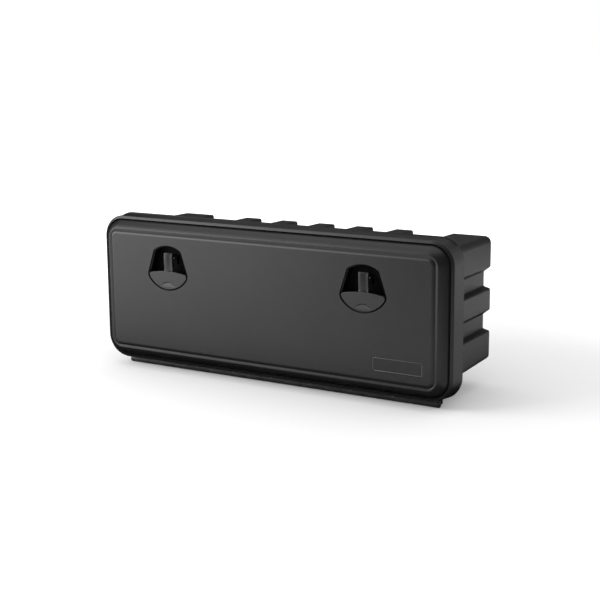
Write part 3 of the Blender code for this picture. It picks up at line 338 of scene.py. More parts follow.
def skin(name, rings, wrap=False):
    """Surface on a grid: the quad (i, j) joins ring i to ring i + 1 between points j and j + 1.

    wrap joins the last ring to the first; otherwise flat faces close both ends.
    """
    rings = np.asarray(rings, dtype=float)
    rows, count = rings.shape[:2]
    grid = np.arange(rows * count).reshape(rows, count)
    near = grid if wrap else grid[:-1]
    far = np.roll(grid, -1, 0) if wrap else grid[1:]
    faces = np.stack([near, np.roll(near, -1, 1), np.roll(far, -1, 1), far], -1)
    faces = faces.reshape(-1, 4).tolist()
    if not wrap:
        faces += [grid[0][::-1].tolist(), grid[-1].tolist()]
    mesh = bpy.data.meshes.new(name)
    mesh.from_pydata(rings.reshape(-1, 3), [], faces)
    weld(mesh)
    return new_object(name, mesh)


def combine(piece, tools, operation):
    """Join or cut the piece with each tool in turn, keep the result and drop the tools."""
    for tool in tools:
        step = piece.modifiers.new(tool.name, "BOOLEAN")
        step.operation = operation
        step.solver = "EXACT"
        step.object = tool
    settle(piece)
    for tool in tools:
        bpy.data.objects.remove(tool, do_unlink=True)
    return piece


def settle(piece):
    """The piece's mesh with its modifiers applied takes the place of its old mesh."""
    depsgraph = bpy.context.evaluated_depsgraph_get()
    mesh = bpy.data.meshes.new_from_object(piece.evaluated_get(depsgraph))
    piece.modifiers.clear()
    piece.data = mesh
    weld(mesh)


def join(piece, *tools):
    """The piece and every tool as one closed surface."""
    return combine(piece, tools, "UNION")


def cut(piece, *tools):
    """The piece without what the tools take up."""
    return combine(piece, tools, "DIFFERENCE")


def place_piece(piece, body, nodes, material):
    """Smooth the piece, hold its flats flat and hand it to the frame."""
    piece.data.materials.clear()
    piece.data.materials.append(material)
    piece.data.shade_smooth()
    piece.data.set_sharp_from_angle(angle=SHARP_TURN)
    hold = piece.modifiers.new("flats", "WEIGHTED_NORMAL")
    hold.mode = "FACE_AREA"
    hold.weight = FLAT_WEIGHT
    hold.keep_sharp = True
    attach(piece, body)
    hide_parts(*nodes)


# Outlines, counter-clockwise seen from the front

def arc(centre_x, centre_z, radius, start, stop, steps):
    """Centre plus radius times cosine and sine of evenly spaced angles."""
    angle = np.linspace(start, stop, steps + 1)
    return np.stack([centre_x + radius * np.cos(angle),
                     centre_z + radius * np.sin(angle)], 1)


def quarter_round(radius, steps=SMALL_STEPS):
    """Edge as (inset, set back): radius times 1 - cosine and 1 - sine of 0 to a right angle."""
    return [(radius * (1 - cos(a)), radius * (1 - sin(a)))
            for a in np.linspace(0.0, pi / 2, steps + 1)]


def bend(start, pull, stop, steps):
    """Quadratic curve: (1-t)^2 start + 2t(1-t) pull + t^2 stop."""
    t = np.linspace(0.0, 1.0, steps + 1)[:, None]
    start, pull, stop = (np.array(p) for p in (start, pull, stop))
    return (1 - t) ** 2 * start + 2 * t * (1 - t) * pull + t ** 2 * stop


def round_rectangle(half, low, high, radius, centre_x=0.0, steps=CORNER_STEPS):
    """Four quarter circles, one round each corner's own centre."""
    corners = ((half - radius, low + radius, -pi / 2), (half - radius, high - radius, 0.0),
               (radius - half, high - radius, pi / 2), (radius - half, low + radius, pi))
    return np.vstack([arc(centre_x + x, z, radius, start, start + pi / 2, steps)
                      for x, z, start in corners])


def shifted(outline, distance):
    """Every side moved inward by the distance; corners lie on their mitre lines."""
    before = outline - np.roll(outline, 1, 0)
    after = np.roll(outline, -1, 0) - outline
    before /= np.linalg.norm(before, axis=1, keepdims=True)
    after /= np.linalg.norm(after, axis=1, keepdims=True)
    inward = np.stack([-before[:, 1] - after[:, 1], before[:, 0] + after[:, 0]], 1)
    inward /= 1 + (before * after).sum(1, keepdims=True)
    return outline + inward * distance


def rounded(outline, radii, steps=SMALL_STEPS):
    """Each corner becomes an arc whose tangent points lie radius / tan(half the corner) away.

    Points between them weigh both radii by sines of the angle still to go and already gone.
    """
    here = np.asarray(outline, dtype=float)
    to_last = np.roll(here, 1, 0) - here
    to_next = np.roll(here, -1, 0) - here
    last_length = np.linalg.norm(to_last, axis=1, keepdims=True)
    next_length = np.linalg.norm(to_next, axis=1, keepdims=True)
    u, v = to_last / last_length, to_next / next_length
    half = np.arccos(np.clip((u * v).sum(1, keepdims=True), -1, 1)) / 2
    radius = np.maximum(np.reshape(radii, (-1, 1)) * np.ones_like(half), MERGE)
    tangent = np.minimum(radius / np.tan(half),
                         TANGENT_LIMIT * np.minimum(last_length, next_length))
    radius = tangent * np.tan(half)
    middle = u + v
    middle /= np.maximum(np.linalg.norm(middle, axis=1, keepdims=True), TINY_LENGTH)
    centre = here + middle * radius / np.sin(half)
    first = (here + u * tangent - centre) / radius
    last = (here + v * tangent - centre) / radius
    sweep = (pi - 2 * half)[:, None]
    t = np.linspace(0.0, 1.0, steps + 1)[None, :, None]
    spread = np.maximum(np.sin(sweep), TINY_SINE)
    points = (np.sin((1 - t) * sweep) * first[:, None]
              + np.sin(t * sweep) * last[:, None]) / spread
    return (centre[:, None] + radius[:, None] * points).reshape(-1, 2)


def at_depth(outline, y):
    """Points (x, z) of the outline become (x, y, z)."""
    return np.column_stack([outline[:, 0], np.full(len(outline), y), outline[:, 1]])


def moved(outline, x, z):
    """Every point of the outline plus (x, z)."""
    return outline + np.array([x, z])


def prism(name, outline, front, rear):
    """Outline carried straight from its front depth to its rear."""
    return skin(name, [at_depth(outline, front), at_depth(outline, rear)])


def side_prism(name, outline, left, right):
    """Outline in YZ, carried straight along X."""
    outline = np.asarray(outline, dtype=float)
    return skin(name, [np.column_stack([np.full(len(outline), x), outline])
                       for x in (left, right)])


def box(name, low, high):
    """Rectangle between the corners' x and z, carried between their depths."""
    outline = np.array([(low[0], low[2]), (high[0], low[2]),
                        (high[0], high[2]), (low[0], high[2])])
    return prism(name, outline, low[1], high[1])


def turned(name, profile, base, axis, sides=ROUND_SIDES):
    """Round piece: ring i has radius profile[i][0] at distance profile[i][1] along the axis."""
    axis = np.array(axis, dtype=float)
    side = np.array(Vector(axis).orthogonal().normalized())
    other = np.cross(axis, side)
    angle = 2 * pi * (np.arange(sides) + 0.5) / sides
    spokes = np.cos(angle)[:, None] * side + np.sin(angle)[:, None] * other
    profile = np.array(profile)
    rings = (np.array(base) + profile[:, 1, None, None] * axis
             + profile[:, 0, None, None] * spokes[None])
    return skin(name, rings)


# Materials

def new_node(tree, kind, **values):
    """Node of a kind, with its settings."""
    node = tree.nodes.new(kind)
    for key, value in values.items():
        setattr(node, key, value)
    return node


def calculated(tree, operation, first, second):
    """Math node on two values."""
    node = new_node(tree, "ShaderNodeMath", operation=operation)
    tree.links.new(first, node.inputs[0])
    tree.links.new(second, node.inputs[1])
    return node.outputs[0]


def ranged(tree, value, low, high, start, stop, **values):
    """Value from start to stop becomes low to high."""
    node = new_node(tree, "ShaderNodeMapRange", **values)
    for key, number in (("From Min", start), ("From Max", stop),
                        ("To Min", low), ("To Max", high)):
        node.inputs[key].default_value = number
    tree.links.new(value, node.inputs["Value"])
    return node.outputs["Result"]


class Finish:
    """A node material that reads Object coordinates and adds its layers one by one."""

    def __init__(self, name, metallic=0.0, specular=0.5):
        """Both numbers hold all over the surface, so they go on the shader's own sockets."""
        self.material = bpy.data.materials.new(name)
        self.material.use_nodes = True
        self.tree = self.material.node_tree
        self.shader = self.tree.nodes["Principled BSDF"]
        self.shader.inputs["Metallic"].default_value = metallic
        self.shader.inputs["Specular IOR Level"].default_value = specular
        self.place = new_node(self.tree, "ShaderNodeTexCoord").outputs["Object"]
        self.bumps = None

    def link(self, source, target):
        """Wire from an output to an input."""
        self.tree.links.new(source, target)

    def noise(self, scale, detail=3.0, stretch=(1.0, 1.0, 1.0)):
        """Clouds from 0 to 1; a stretch under 1 draws them out along that axis."""
        mapping = new_node(self.tree, "ShaderNodeMapping")
        mapping.inputs["Scale"].default_value = stretch
        self.link(self.place, mapping.inputs["Vector"])
        texture = new_node(self.tree, "ShaderNodeTexNoise")
        texture.inputs["Scale"].default_value = scale
        texture.inputs["Detail"].default_value = detail
        self.link(mapping.outputs["Vector"], texture.inputs["Vector"])
        return texture.outputs["Fac"]

    def cells(self, scale):
        """Distance to the nearest of scattered points, smoothed where cells meet."""
        texture = new_node(self.tree, "ShaderNodeTexVoronoi", feature="SMOOTH_F1")
        texture.inputs["Scale"].default_value = scale
        self.link(self.place, texture.inputs["Vector"])
        return texture.outputs["Distance"]

    def span(self, value, low, high, start=0.3, stop=0.7):
        """Value from start to stop becomes low to high."""
        return ranged(self.tree, value, low, high, start, stop)

    def product(self, first, second):
        """One value times the other."""
        return calculated(self.tree, "MULTIPLY", first, second)

    def blend(self, share, first, second):
        """Colour first, turning to second where share is 1.

        A Mix node's sockets 6 and 7 are its two colours, and output 2 is the colour it makes.
        """
        node = new_node(self.tree, "ShaderNodeMix", data_type="RGBA")
        for socket, value in ((node.inputs[6], first), (node.inputs[7], second)):
            if isinstance(value, tuple):
                socket.default_value = (*value, 1.0)
            else:
                self.link(value, socket)
        self.link(share, node.inputs[0])
        return node.outputs[2]

    def bump(self, height, distance, strength):
        """Relief on top of the relief so far; distance is its height in metres."""
        node = new_node(self.tree, "ShaderNodeBump")
        node.inputs["Strength"].default_value = strength
        node.inputs["Distance"].default_value = distance
        self.link(height, node.inputs["Height"])
        if self.bumps:
            self.link(self.bumps, node.inputs["Normal"])
        self.bumps = node.outputs["Normal"]

    def edges(self, radius, start, stop):
        """1 on worn outer edges: where the normal rounded over a radius leaves the true normal."""
        bevel = new_node(self.tree, "ShaderNodeBevel", samples=4)
        bevel.inputs["Radius"].default_value = radius
        normal = new_node(self.tree, "ShaderNodeNewGeometry").outputs["Normal"]
        dot = new_node(self.tree, "ShaderNodeVectorMath", operation="DOT_PRODUCT")
        self.link(bevel.outputs["Normal"], dot.inputs[0])
        self.link(normal, dot.inputs[1])
        return self.span(dot.outputs["Value"], 1.0, 0.0, start, stop)

    def close(self, colour, roughness):
        """The finished material."""
        self.link(colour, self.shader.inputs["Base Color"])
        self.link(roughness, self.shader.inputs["Roughness"])
        if self.bumps:
            self.link(self.bumps, self.shader.inputs["Normal"])
        return self.material


def lighter(colour, factor):
    """Each part of the colour times the factor, 1 at most."""
    return tuple(min(1.0, part * factor) for part in colour)


def moulded_plastic(name, colour, roughness, grain, specular=0.5):
    """Spark-eroded grain in two sizes, faint flow clouds, thin dust and light scuffs."""
    finish = Finish(name, specular=specular)
    clouds = finish.noise(scale=9.0, detail=4.0)
    specks = finish.noise(scale=420.0, detail=2.0)
    rubs = finish.noise(scale=55.0, detail=6.0, stretch=(1.0, 1.0, 2.2))
    scuffs = finish.span(rubs, 0.0, 1.0, start=0.60, stop=0.74)
    base = finish.blend(finish.span(clouds, 0.0, 1.0), lighter(colour, 0.9), lighter(colour, 1.1))
    worn = finish.blend(finish.product(scuffs, finish.span(specks, 0.0, 0.5)), base,
                        lighter(colour, 1.8))
    rough = finish.span(specks, roughness - 0.03, roughness + 0.04)
    finish.bump(finish.cells(1 / grain), distance=grain * 0.16, strength=0.55)
    finish.bump(finish.noise(scale=2.2 / grain, detail=2.0), distance=grain * 0.10, strength=0.5)
    finish.bump(finish.noise(scale=26.0, detail=2.0), distance=0.00025, strength=0.35)
    return finish.close(worn, rough)


def rubber(name):
    """Matt rubber under a pale, patchy bloom, with a very fine grain."""
    finish = Finish(name)
    bloom = finish.span(finish.noise(scale=60.0, detail=5.0), 0.0, 1.0, start=0.45, stop=0.7)
    colour = finish.blend(bloom, (0.010, 0.010, 0.010), (0.020, 0.020, 0.019))
    finish.bump(finish.noise(scale=1800.0, detail=2.0), distance=0.00004, strength=0.6)
    return finish.close(colour, finish.span(bloom, 0.72, 0.84, start=0.0, stop=1.0))


def zinc_steel(name, colour, roughness, brushed):
    """Plated steel: rolling streaks, cloudy passivation and brighter worn edges."""
    finish = Finish(name, metallic=1.0)
    streaks = finish.noise(scale=900.0, detail=3.0, stretch=brushed)
    clouds = finish.noise(scale=70.0, detail=4.0)
    base = finish.blend(finish.span(clouds, 0.0, 1.0), lighter(colour, 0.86), colour)
    rubbed = finish.edges(radius=0.0006, start=0.80, stop=0.98)
    worn = finish.blend(rubbed, base, lighter(colour, 1.35))
    finish.bump(streaks, distance=0.00003, strength=0.6)
    return finish.close(worn, finish.span(streaks, roughness - 0.07, roughness + 0.10))


def coated_steel(name, colour):
    """Black coating with orange peel, rubbed through to grey along its edges."""
    finish = Finish(name)
    peel = finish.noise(scale=380.0, detail=3.0)
    rub = finish.product(finish.edges(radius=0.0005, start=0.78, stop=0.95),
                         finish.span(finish.noise(scale=160.0, detail=4.0), 0.0, 1.0,
                                     start=0.48, stop=0.62))
    base = finish.blend(finish.span(finish.noise(scale=30.0), 0.0, 1.0), colour,
                        lighter(colour, 1.35))
    worn = finish.blend(rub, base, (0.16, 0.155, 0.15))
    finish.bump(peel, distance=0.00006, strength=0.7)
    return finish.close(worn, finish.span(peel, 0.36, 0.50))


SHELL_PLASTIC = moulded_plastic("shell_plastic", (0.0095, 0.0095, 0.0099), roughness=0.38,
                                grain=0.0008, specular=0.46)
LATCH_PLASTIC = moulded_plastic("latch_plastic", (0.0110, 0.0110, 0.0114), roughness=0.42,
                                grain=0.0006)
# Black plastic made darker and almost without reflection: partly its own black, partly painted
# shade inside the latch wells
WELL_SHADE_PLASTIC = moulded_plastic("well_shade_plastic", (0.0025, 0.0025, 0.0025), roughness=0.55,
                               grain=0.0006, specular=0.07)
BADGE_PLASTIC = moulded_plastic("badge_plastic", (0.0070, 0.0070, 0.0075), roughness=0.30,
                                grain=0.0004, specular=0.42)
# Lighter and shinier than the plate: a painted highlight along the badge's rim
BADGE_RIM_HIGHLIGHT = moulded_plastic("badge_rim_painted_highlight", (0.040, 0.040, 0.041), roughness=0.24,
                             grain=0.0004, specular=0.8)
RUBBER = rubber("seal_rubber")
STEEL = zinc_steel("bare_steel", (0.56, 0.56, 0.57), roughness=0.32, brushed=(0.05, 1.0, 1.0))
BLACK_STEEL = coated_steel("hinge_steel", (0.022, 0.022, 0.023))


# Lid shell

def lip_outline(inset, depth_behind_lip=0.0):
    """The lid's outline, which flares evenly toward the rear edge of its skirt."""
    share = max(depth_behind_lip, 0.0) / SKIRT_DEPTH
    return round_rectangle(LIP_HALF + SIDE_FLARE * share - inset,
                           LIP_LOW - TOP_FLARE * share + inset,
                           LIP_HIGH + TOP_FLARE * share - inset, LID_CORNER - inset)


def panel_outline(grow):
    """Rounded rectangle round the panel's flat part, grown outward."""
    return round_rectangle(LIP_HALF - PANEL_INSET + grow, LIP_LOW + PANEL_INSET - grow,
                           LIP_HIGH - PANEL_INSET + grow, PANEL_CORNER + grow)


def mouth_outline(grow):
    """Rounded rectangle round the body's mouth, grown outward."""
    return round_rectangle(MOUTH_HALF + grow, MOUTH_LOW - grow, MOUTH_HIGH + grow,
                           MOUTH_CORNER + grow)


def border_rings(width, height):
    """Bowed slope: place grows with the sine and height with the cosine of a falling slope."""
    chord = atan2(height, width)
    steep = chord + BORDER_BOW
    radius = width / (sin(steep) - sin(chord - BORDER_BOW))
    return [at_depth(lip_outline(CREST - width + radius * (sin(steep) - sin(slope))),
                     LIP_Y - radius * (cos(slope) - cos(steep)))
            for slope in np.linspace(steep, chord - BORDER_BOW, ARC_STEPS + 1)]


def lid_outer_rings():
    """Outside of the lid: arcs for the lip and the panel's roll, a bowed slope between them."""
    lip_fall = (LIP_WIDTH - LIP_ROUND * (1 - sin(LIP_LEAN))) * tan(LIP_LEAN)
    rings = [at_depth(lip_outline(0.0, SKIRT_DEPTH), SKIRT_Y)]
    for tilt in np.linspace(pi / 2, LIP_LEAN, SMALL_STEPS + 1):
        depth = lip_fall + LIP_ROUND * (cos(LIP_LEAN) - cos(tilt))
        rings.append(at_depth(lip_outline(LIP_ROUND * (1 - sin(tilt)), depth), LIP_Y + depth))
    rings.append(at_depth(lip_outline(LIP_WIDTH), LIP_Y))
    rings.append(at_depth(lip_outline(LIP_WIDTH + VALLEY_WIDTH / 2), LIP_Y + VALLEY_DEPTH))
    rings += border_rings(BORDER_WIDTH, BORDER_HEIGHT)[:-1]
    rings += [at_depth(lip_outline(CREST + inward * CREST_ROUND),
                       LIP_Y - BORDER_HEIGHT + back * CREST_ROUND)
              for inward, back in CREST_PROFILE]
    turn = 2 * atan2(PANEL_RAISE, PANEL_ROLL)
    roll = PANEL_ROLL / sin(turn)
    rings += [at_depth(panel_outline(roll * sin(angle)), FRONT_Y + roll * (1 - cos(angle)))
              for angle in np.linspace(turn, 0.0, ARC_STEPS + 1)]
    return rings


def lid_inner_rings():
    """Inside of the lid: a wall behind the outside's forms, then the seal's square channel."""
    inner_width = BORDER_WIDTH - LID_WALL
    inner_height = BORDER_HEIGHT - LID_WALL
    shelf_y = LIP_Y + VALLEY_DEPTH + LID_WALL
    rib_y = LIP_Y - SEAL_RIB_SET_BACK
    rings = [at_depth(lip_outline(LID_WALL, SKIRT_DEPTH), SKIRT_Y),
             at_depth(lip_outline(LID_WALL, shelf_y - LIP_Y), shelf_y),
             at_depth(lip_outline(CREST - inner_width), shelf_y)]
    rings += border_rings(inner_width, inner_height)
    outer_side = SEAL_OUTER + PLAY
    inner_side = -SEAL_INNER - PLAY
    section = ((outer_side + SEAL_RIB, LIP_Y - inner_height), (outer_side + SEAL_RIB, rib_y),
               (outer_side, rib_y), (outer_side, LID_INNER_Y), (inner_side, LID_INNER_Y),
               (inner_side, rib_y), (inner_side - SEAL_RIB, rib_y),
               (inner_side - SEAL_RIB, LID_INNER_Y))
    return rings + [at_depth(mouth_outline(grow), y) for grow, y in section]


def latch_outline(inset=0.0):
    """Plectrum: an arc below, a bend round each hip, straight sides and an arc on top."""
    half = LATCH_WIDTH / 2
    top_end = asin(half * SHOULDER_SHARE / LATCH_ARC)
    top_start = pi / 2 - top_end * SHOULDER_BEND_SHARE
    hip_top = (half * HIP_SHARE, LATCH_HEIGHT * HIP_TOP_SHARE)
    hip_z = LATCH_HEIGHT * HIP_LOW_SHARE
    hip_x = sqrt(LATCH_ARC ** 2 - (LATCH_ARC - hip_z) ** 2)
    hip_pull = (half * HIP_BULGE_SHARE, (hip_top[1] + hip_z) / 2)
    low_end = asin(hip_x / LATCH_ARC)
    right = np.vstack([
        arc(0.0, LATCH_ARC, LATCH_ARC, -pi / 2, low_end - pi / 2, 2 * ARC_STEPS)[:-1],
        bend((hip_x, hip_z), hip_pull, hip_top, ARC_STEPS),
        shoulder_points(top_end, hip_top),
        arc(0.0, LATCH_HEIGHT - LATCH_ARC, LATCH_ARC, top_start, pi / 2, ARC_STEPS)])
    left = right[1:-1][::-1] * np.array([-1.0, 1.0])
    return shifted(np.vstack([right, left]), inset)


def shoulder_points(top_end, hip_top):
    """Short bend that softens the corner between the side and the top arc."""
    corner, after = (np.array([LATCH_ARC * sin(angle),
                               LATCH_HEIGHT - LATCH_ARC + LATCH_ARC * cos(angle)])
                     for angle in (top_end, top_end * SHOULDER_BEND_SHARE))
    down = np.array(hip_top) - corner
    before = corner + down * np.linalg.norm(after - corner) / np.linalg.norm(down)
    return bend(before, corner, after, SMALL_STEPS)[:-1]


def latch_at(x, inset=0.0):
    """The latch's outline at its place in the panel."""
    return moved(latch_outline(inset), x, LATCH_LOW_Z)


def opening_tool(x):
    """Cutter whose front flares as a quarter round, so the opening's edge comes out rounded."""
    rings = [at_depth(latch_at(x, -OPENING_ROUND), FRONT_Y - OVERRUN)]
    rings += [at_depth(latch_at(x, -flare), FRONT_Y + back)
              for back, flare in quarter_round(OPENING_ROUND)]
    rings.append(at_depth(latch_at(x), LID_INNER_Y + OVERRUN))
    return skin("opening_tool", rings)


def rain_channel_tool():
    """Gutter along the top of the skirt, ending half way round both corners."""
    first = CORNER_STEPS + 1 + CORNER_STEPS // 2
    last = 2 * (CORNER_STEPS + 1) + CORNER_STEPS // 2
    rings = []
    for depth in (CHANNEL_FRONT, SKIRT_DEPTH - CHANNEL_REAR_RIM):
        floor = lip_outline(CHANNEL_DEPTH, depth)[first:last + 1]
        cover = lip_outline(-OVERRUN, depth)[first:last + 1][::-1]
        rings.append(at_depth(np.vstack([floor, cover]), LIP_Y + depth))
    return skin("rain_channel_tool", rings)


def boss_places(x):
    """Four screw bosses round a latch, as (x, z)."""
    low = LATCH_LOW_Z + BOSS_INSET
    high = CUP_FLANGE_HIGH_Z - BOSS_INSET
    return [(x + side * BOSS_SIDE, z) for side in (-1, 1) for z in (low, high)]


def make_lid():
    """Moulding with bosses, less the latch openings, the gutter and the badge's pocket."""
    lid = skin("lid_moulding", lid_inner_rings()[::-1] + lid_outer_rings())
    boss_front = LID_INNER_Y - LID_WALL / 2
    length = CUP_FLANGE_Y - PLAY - boss_front
    soft = BOSS_RADIUS / 8
    profile = [(BOSS_RADIUS, 0.0), (BOSS_RADIUS, length - soft), (BOSS_RADIUS - soft, length)]
    places = [place for _, x in SIDES for place in boss_places(x)]
    join(lid, *[turned("boss_tool", profile, (x, boss_front, z), (0, 1, 0)) for x, z in places])
    pocket = round_rectangle(BADGE_WIDTH / 2 + PLAY, BADGE_Z - BADGE_HEIGHT / 2 - PLAY,
                             BADGE_Z + BADGE_HEIGHT / 2 + PLAY, BADGE_CORNER + PLAY, BADGE_X)
    cut(lid, opening_tool(-LATCH_X), opening_tool(LATCH_X), rain_channel_tool(),
        prism("pocket_tool", pocket, FRONT_Y - OVERRUN, FRONT_Y + BADGE_THICK + PLAY))
    place_piece(lid, "lid", ["lid_shell"], SHELL_PLASTIC)


def make_badge():
    """Bare plate: a half-round rim and a flat field inside it, level with the rim's foot.

    The rim's quads take a lighter, shinier material that paints a highlight line round the rim;
    the field and the back have more sides.
    """
    rim = round_rectangle(BADGE_WIDTH / 2, BADGE_Z - BADGE_HEIGHT / 2,
                          BADGE_Z + BADGE_HEIGHT / 2, BADGE_CORNER, BADGE_X, 2 * SMALL_STEPS)
    soft = BADGE_RIM / 2
    rings = [at_depth(rim, FRONT_Y + BADGE_THICK)]
    rings += [at_depth(shifted(rim, soft * (1 - cos(a))), FRONT_Y + soft * (1 - sin(a)))
              for a in np.linspace(0.0, pi, 2 * SMALL_STEPS + 1)]
    badge = skin("badge_face", rings)
    place_piece(badge, "lid", ["badge_plate"], BADGE_PLASTIC)
    badge.data.materials.append(BADGE_RIM_HIGHLIGHT)
    for face in badge.data.polygons:
        face.material_index = int(len(face.vertices) == 4)


def make_seal():
    """Flat foot in the channel and a half-round crown toward the rim, carried round the mouth."""
    front = LID_INNER_Y + PLAY
    middle = (SEAL_OUTER - SEAL_INNER) / 2
    half = (SEAL_OUTER + SEAL_INNER) / 2
    waist = RIM_Y - SEAL_GAP - half
    crown = [(middle + half * cos(a), waist + half * sin(a))
             for a in np.linspace(0.0, pi, 2 * ARC_STEPS + 1)]
    section = [(SEAL_OUTER, front)] + crown + [(-SEAL_INNER, front)]
    seal = skin("seal_bulb", [at_depth(mouth_outline(grow), y) for grow, y in section], wrap=True)
    place_piece(seal, "lid", ["lid_seal"], RUBBER)


# Body shell

RIB_TURN, ROOT_TURN, LOW_TURN, TOP_TURN = 1, -1, 2, 3


def body_corners(side, low, high):
    """Sharp corners of the right half of the ribbed section, and which turn each one is.

    Ribs and grooves repeat at an even pitch; each groove's walls lean inward a little.
    """
    edges = [0.0]
    for k in range(RIBS_EACH_SIDE + 1):
        edges += [k * RIB_PITCH + RIB_WIDTH / 2, (k + 1) * RIB_PITCH - RIB_WIDTH / 2]
    edges[-1] = BODY_HALF - CORNER_RIB_WIDTH

    def grooved(level, inward):
        """Four corners for each groove along a level."""
        return [point for end, start in zip(edges[1::2], edges[2::2])
                for point in ((end, level), (end + GROOVE_LEAN, level + inward),
                              (start - GROOVE_LEAN, level + inward), (start, level))]

    groove = [RIB_TURN, ROOT_TURN, ROOT_TURN, RIB_TURN]
    points = grooved(low, GROOVE_DEPTH) + [(side, low)]
    turns = groove * (RIBS_EACH_SIDE + 1) + [LOW_TURN]
    floor = side - GROOVE_DEPTH
    for share in SIDE_GROOVE_TOP_SHARES:
        top = BODY_LOW + share * (BODY_TOP - BODY_LOW)
        bottom = top - SIDE_GROOVE_OPENING
        points += [(side, bottom), (floor, bottom + SIDE_GROOVE_RISE),
                   (floor, top - SIDE_GROOVE_DROP), (side, top)]
        turns += groove
    points += [(side, high)] + grooved(high, -GROOVE_DEPTH)[::-1]
    turns += [TOP_TURN] + groove * (RIBS_EACH_SIDE + 1)
    return np.array(points), turns


def body_outline(y, inset=0.0):
    """Ribbed section at a depth; its corners grow or shrink with the inset, as an offset does."""
    share = (y - SKIRT_Y) / (REAR_Y - SKIRT_Y)
    right, turns = body_corners(BODY_HALF - BODY_DRAFT * share, BODY_LOW + BODY_LOW_DRAFT * share,
                                BODY_TOP - BODY_TOP_DRAFT * share)
    left = right[::-1] * np.array([-1.0, 1.0])
    turns = np.array(turns + turns[::-1])
    radii = np.select([turns == RIB_TURN, turns == ROOT_TURN, turns == LOW_TURN],
                      [RIB_EDGE - inset, GROOVE_ROOT + inset, BODY_LOW_ROUND - inset],
                      BODY_TOP_ROUND - inset)
    return rounded(shifted(np.vstack([right, left]), inset), np.maximum(radii, RIB_EDGE / 8))


def body_tube():
    """Ribbed section forward along the inside, back along the outside, and a quarter round."""
    start = (FLANGE_Y + FLANGE_REAR_Y) / 2
    rear_inner = REAR_Y - BODY_WALL
    rings = [at_depth(body_outline(rear_inner, BODY_WALL), rear_inner),
             at_depth(body_outline(start, BODY_WALL), start), at_depth(body_outline(start), start)]
    rings += [at_depth(body_outline(REAR_Y - back, inset), REAR_Y - back)
              for inset, back in quarter_round(REAR_ROUND)]
    return skin("body_moulding", rings)


def mouth_frame():
    """Flange behind the lid's skirt and the rim that meets the seal, with a round nose."""
    side = LID_WIDTH / 2 - SIDE_FLARE - LID_WALL - FLANGE_GAP
    outer = round_rectangle(side, LIP_LOW + FLANGE_LOW_GAP - FLANGE_GAP,
                            LIP_HIGH - LID_WALL - FLANGE_GAP + TOP_FLARE / 2,
                            LID_CORNER - LID_WALL - FLANGE_GAP)
    nose = [(inset, RIM_Y + back) for inset, back in quarter_round(RIM_ROUND)]
    section = nose + [(RIM_WALL - grow, y) for grow, y in nose[::-1]]
    rings = [at_depth(mouth_outline(grow), y) for grow, y in section]
    rings += [at_depth(mouth_outline(RIM_WALL), FLANGE_Y), at_depth(outer, FLANGE_Y),
              at_depth(outer, FLANGE_REAR_Y), at_depth(mouth_outline(0.0), FLANGE_REAR_Y)]
    return skin("mouth_frame_tool", rings, wrap=True)


def hinge_rail():
    """Bar below the body that the hinge's leaf is riveted to: a rectangle with round corners."""
    rear = RAIL_Y + RAIL_THICK
    top = BODY_LOW + GROOVE_DEPTH + BODY_WALL / 2
    outline = rounded([(RAIL_Y, RAIL_LOW), (rear, RAIL_LOW), (rear, top), (RAIL_Y, top)],
                      [FOOT_ROUND / 2, FOOT_ROUND, 0.0, 0.0])
    return side_prism("rail_tool", outline, -RAIL_HALF, RAIL_HALF)


def foot_rail(x):
    """Upside-down T with a rounded root, level with the hinge barrel."""
    top = BODY_LOW + BODY_WALL / 2
    sole = RIB_WIDTH / 2
    web = FOOT_WEB / 2
    right = [(sole, 0.0), (sole, FOOT_SOLE_THICK), (web, FOOT_SOLE_THICK), (web, top)]
    radii = [FOOT_ROUND, FOOT_ROUND, 2 * FOOT_ROUND, 0.0]
    outline = rounded([(-sole, 0.0)] + right + [(-px, pz) for px, pz in right[:0:-1]],
                      [FOOT_ROUND] + radii + radii[:0:-1])
    return prism("foot_tool", moved(outline, x, 0.0), LIP_Y + FOOT_FRONT,
                 REAR_Y - FOOT_REAR_INSET)


def make_body():
    """Tube, mouth, hinge rail and feet in one moulding."""
    body = body_tube()
    foot_x = RIBS_EACH_SIDE * RIB_PITCH
    join(body, mouth_frame(), hinge_rail(), foot_rail(-foot_x), foot_rail(foot_x))
    place_piece(body, "body", ["body_shell"], SHELL_PLASTIC)


# Latches

def make_gasket(side, x):
    """Flat ring round the opening, whose inner front edge is softened."""
    rear = GASKET_Y + GASKET_THICK
    soft = GASKET_THICK / 4
    section = ((-GASKET_OUT, GASKET_Y), (-GASKET_OUT, rear), (LEDGE, rear),
               (LEDGE, GASKET_Y + soft), (LEDGE - soft / 3, GASKET_Y + soft / 3),
               (LEDGE - soft, GASKET_Y))
    rings = [at_depth(latch_at(x, inset), y) for inset, y in section]
    gasket = skin("gasket_ring_" + side, rings, wrap=True)
    place_piece(gasket, "lid", ["latch_gasket_" + side], RUBBER)


def lug_outline():
    """Outline in YZ: a half circle round the pivot, carried back into the cup's floor."""
    nose = arc(PIVOT_Y, PIVOT_Z, LUG_RADIUS, pi / 2, 3 * pi / 2, ARC_STEPS)
    root = CUP_FLOOR_Y + CUP_FLOOR / 2
    return np.vstack([nose, [(root, PIVOT_Z - LUG_RADIUS), (root, PIVOT_Z + LUG_RADIUS)]])


def cup_rings(x, inset, floor_y):
    """Straight walls from the cup's front edge, turning into its floor by a quarter round."""
    return [at_depth(latch_at(x, inset), CUP_Y)] + [
        at_depth(latch_at(x, inset + more), floor_y - back)
        for more, back in quarter_round(CUP_ROUND)]


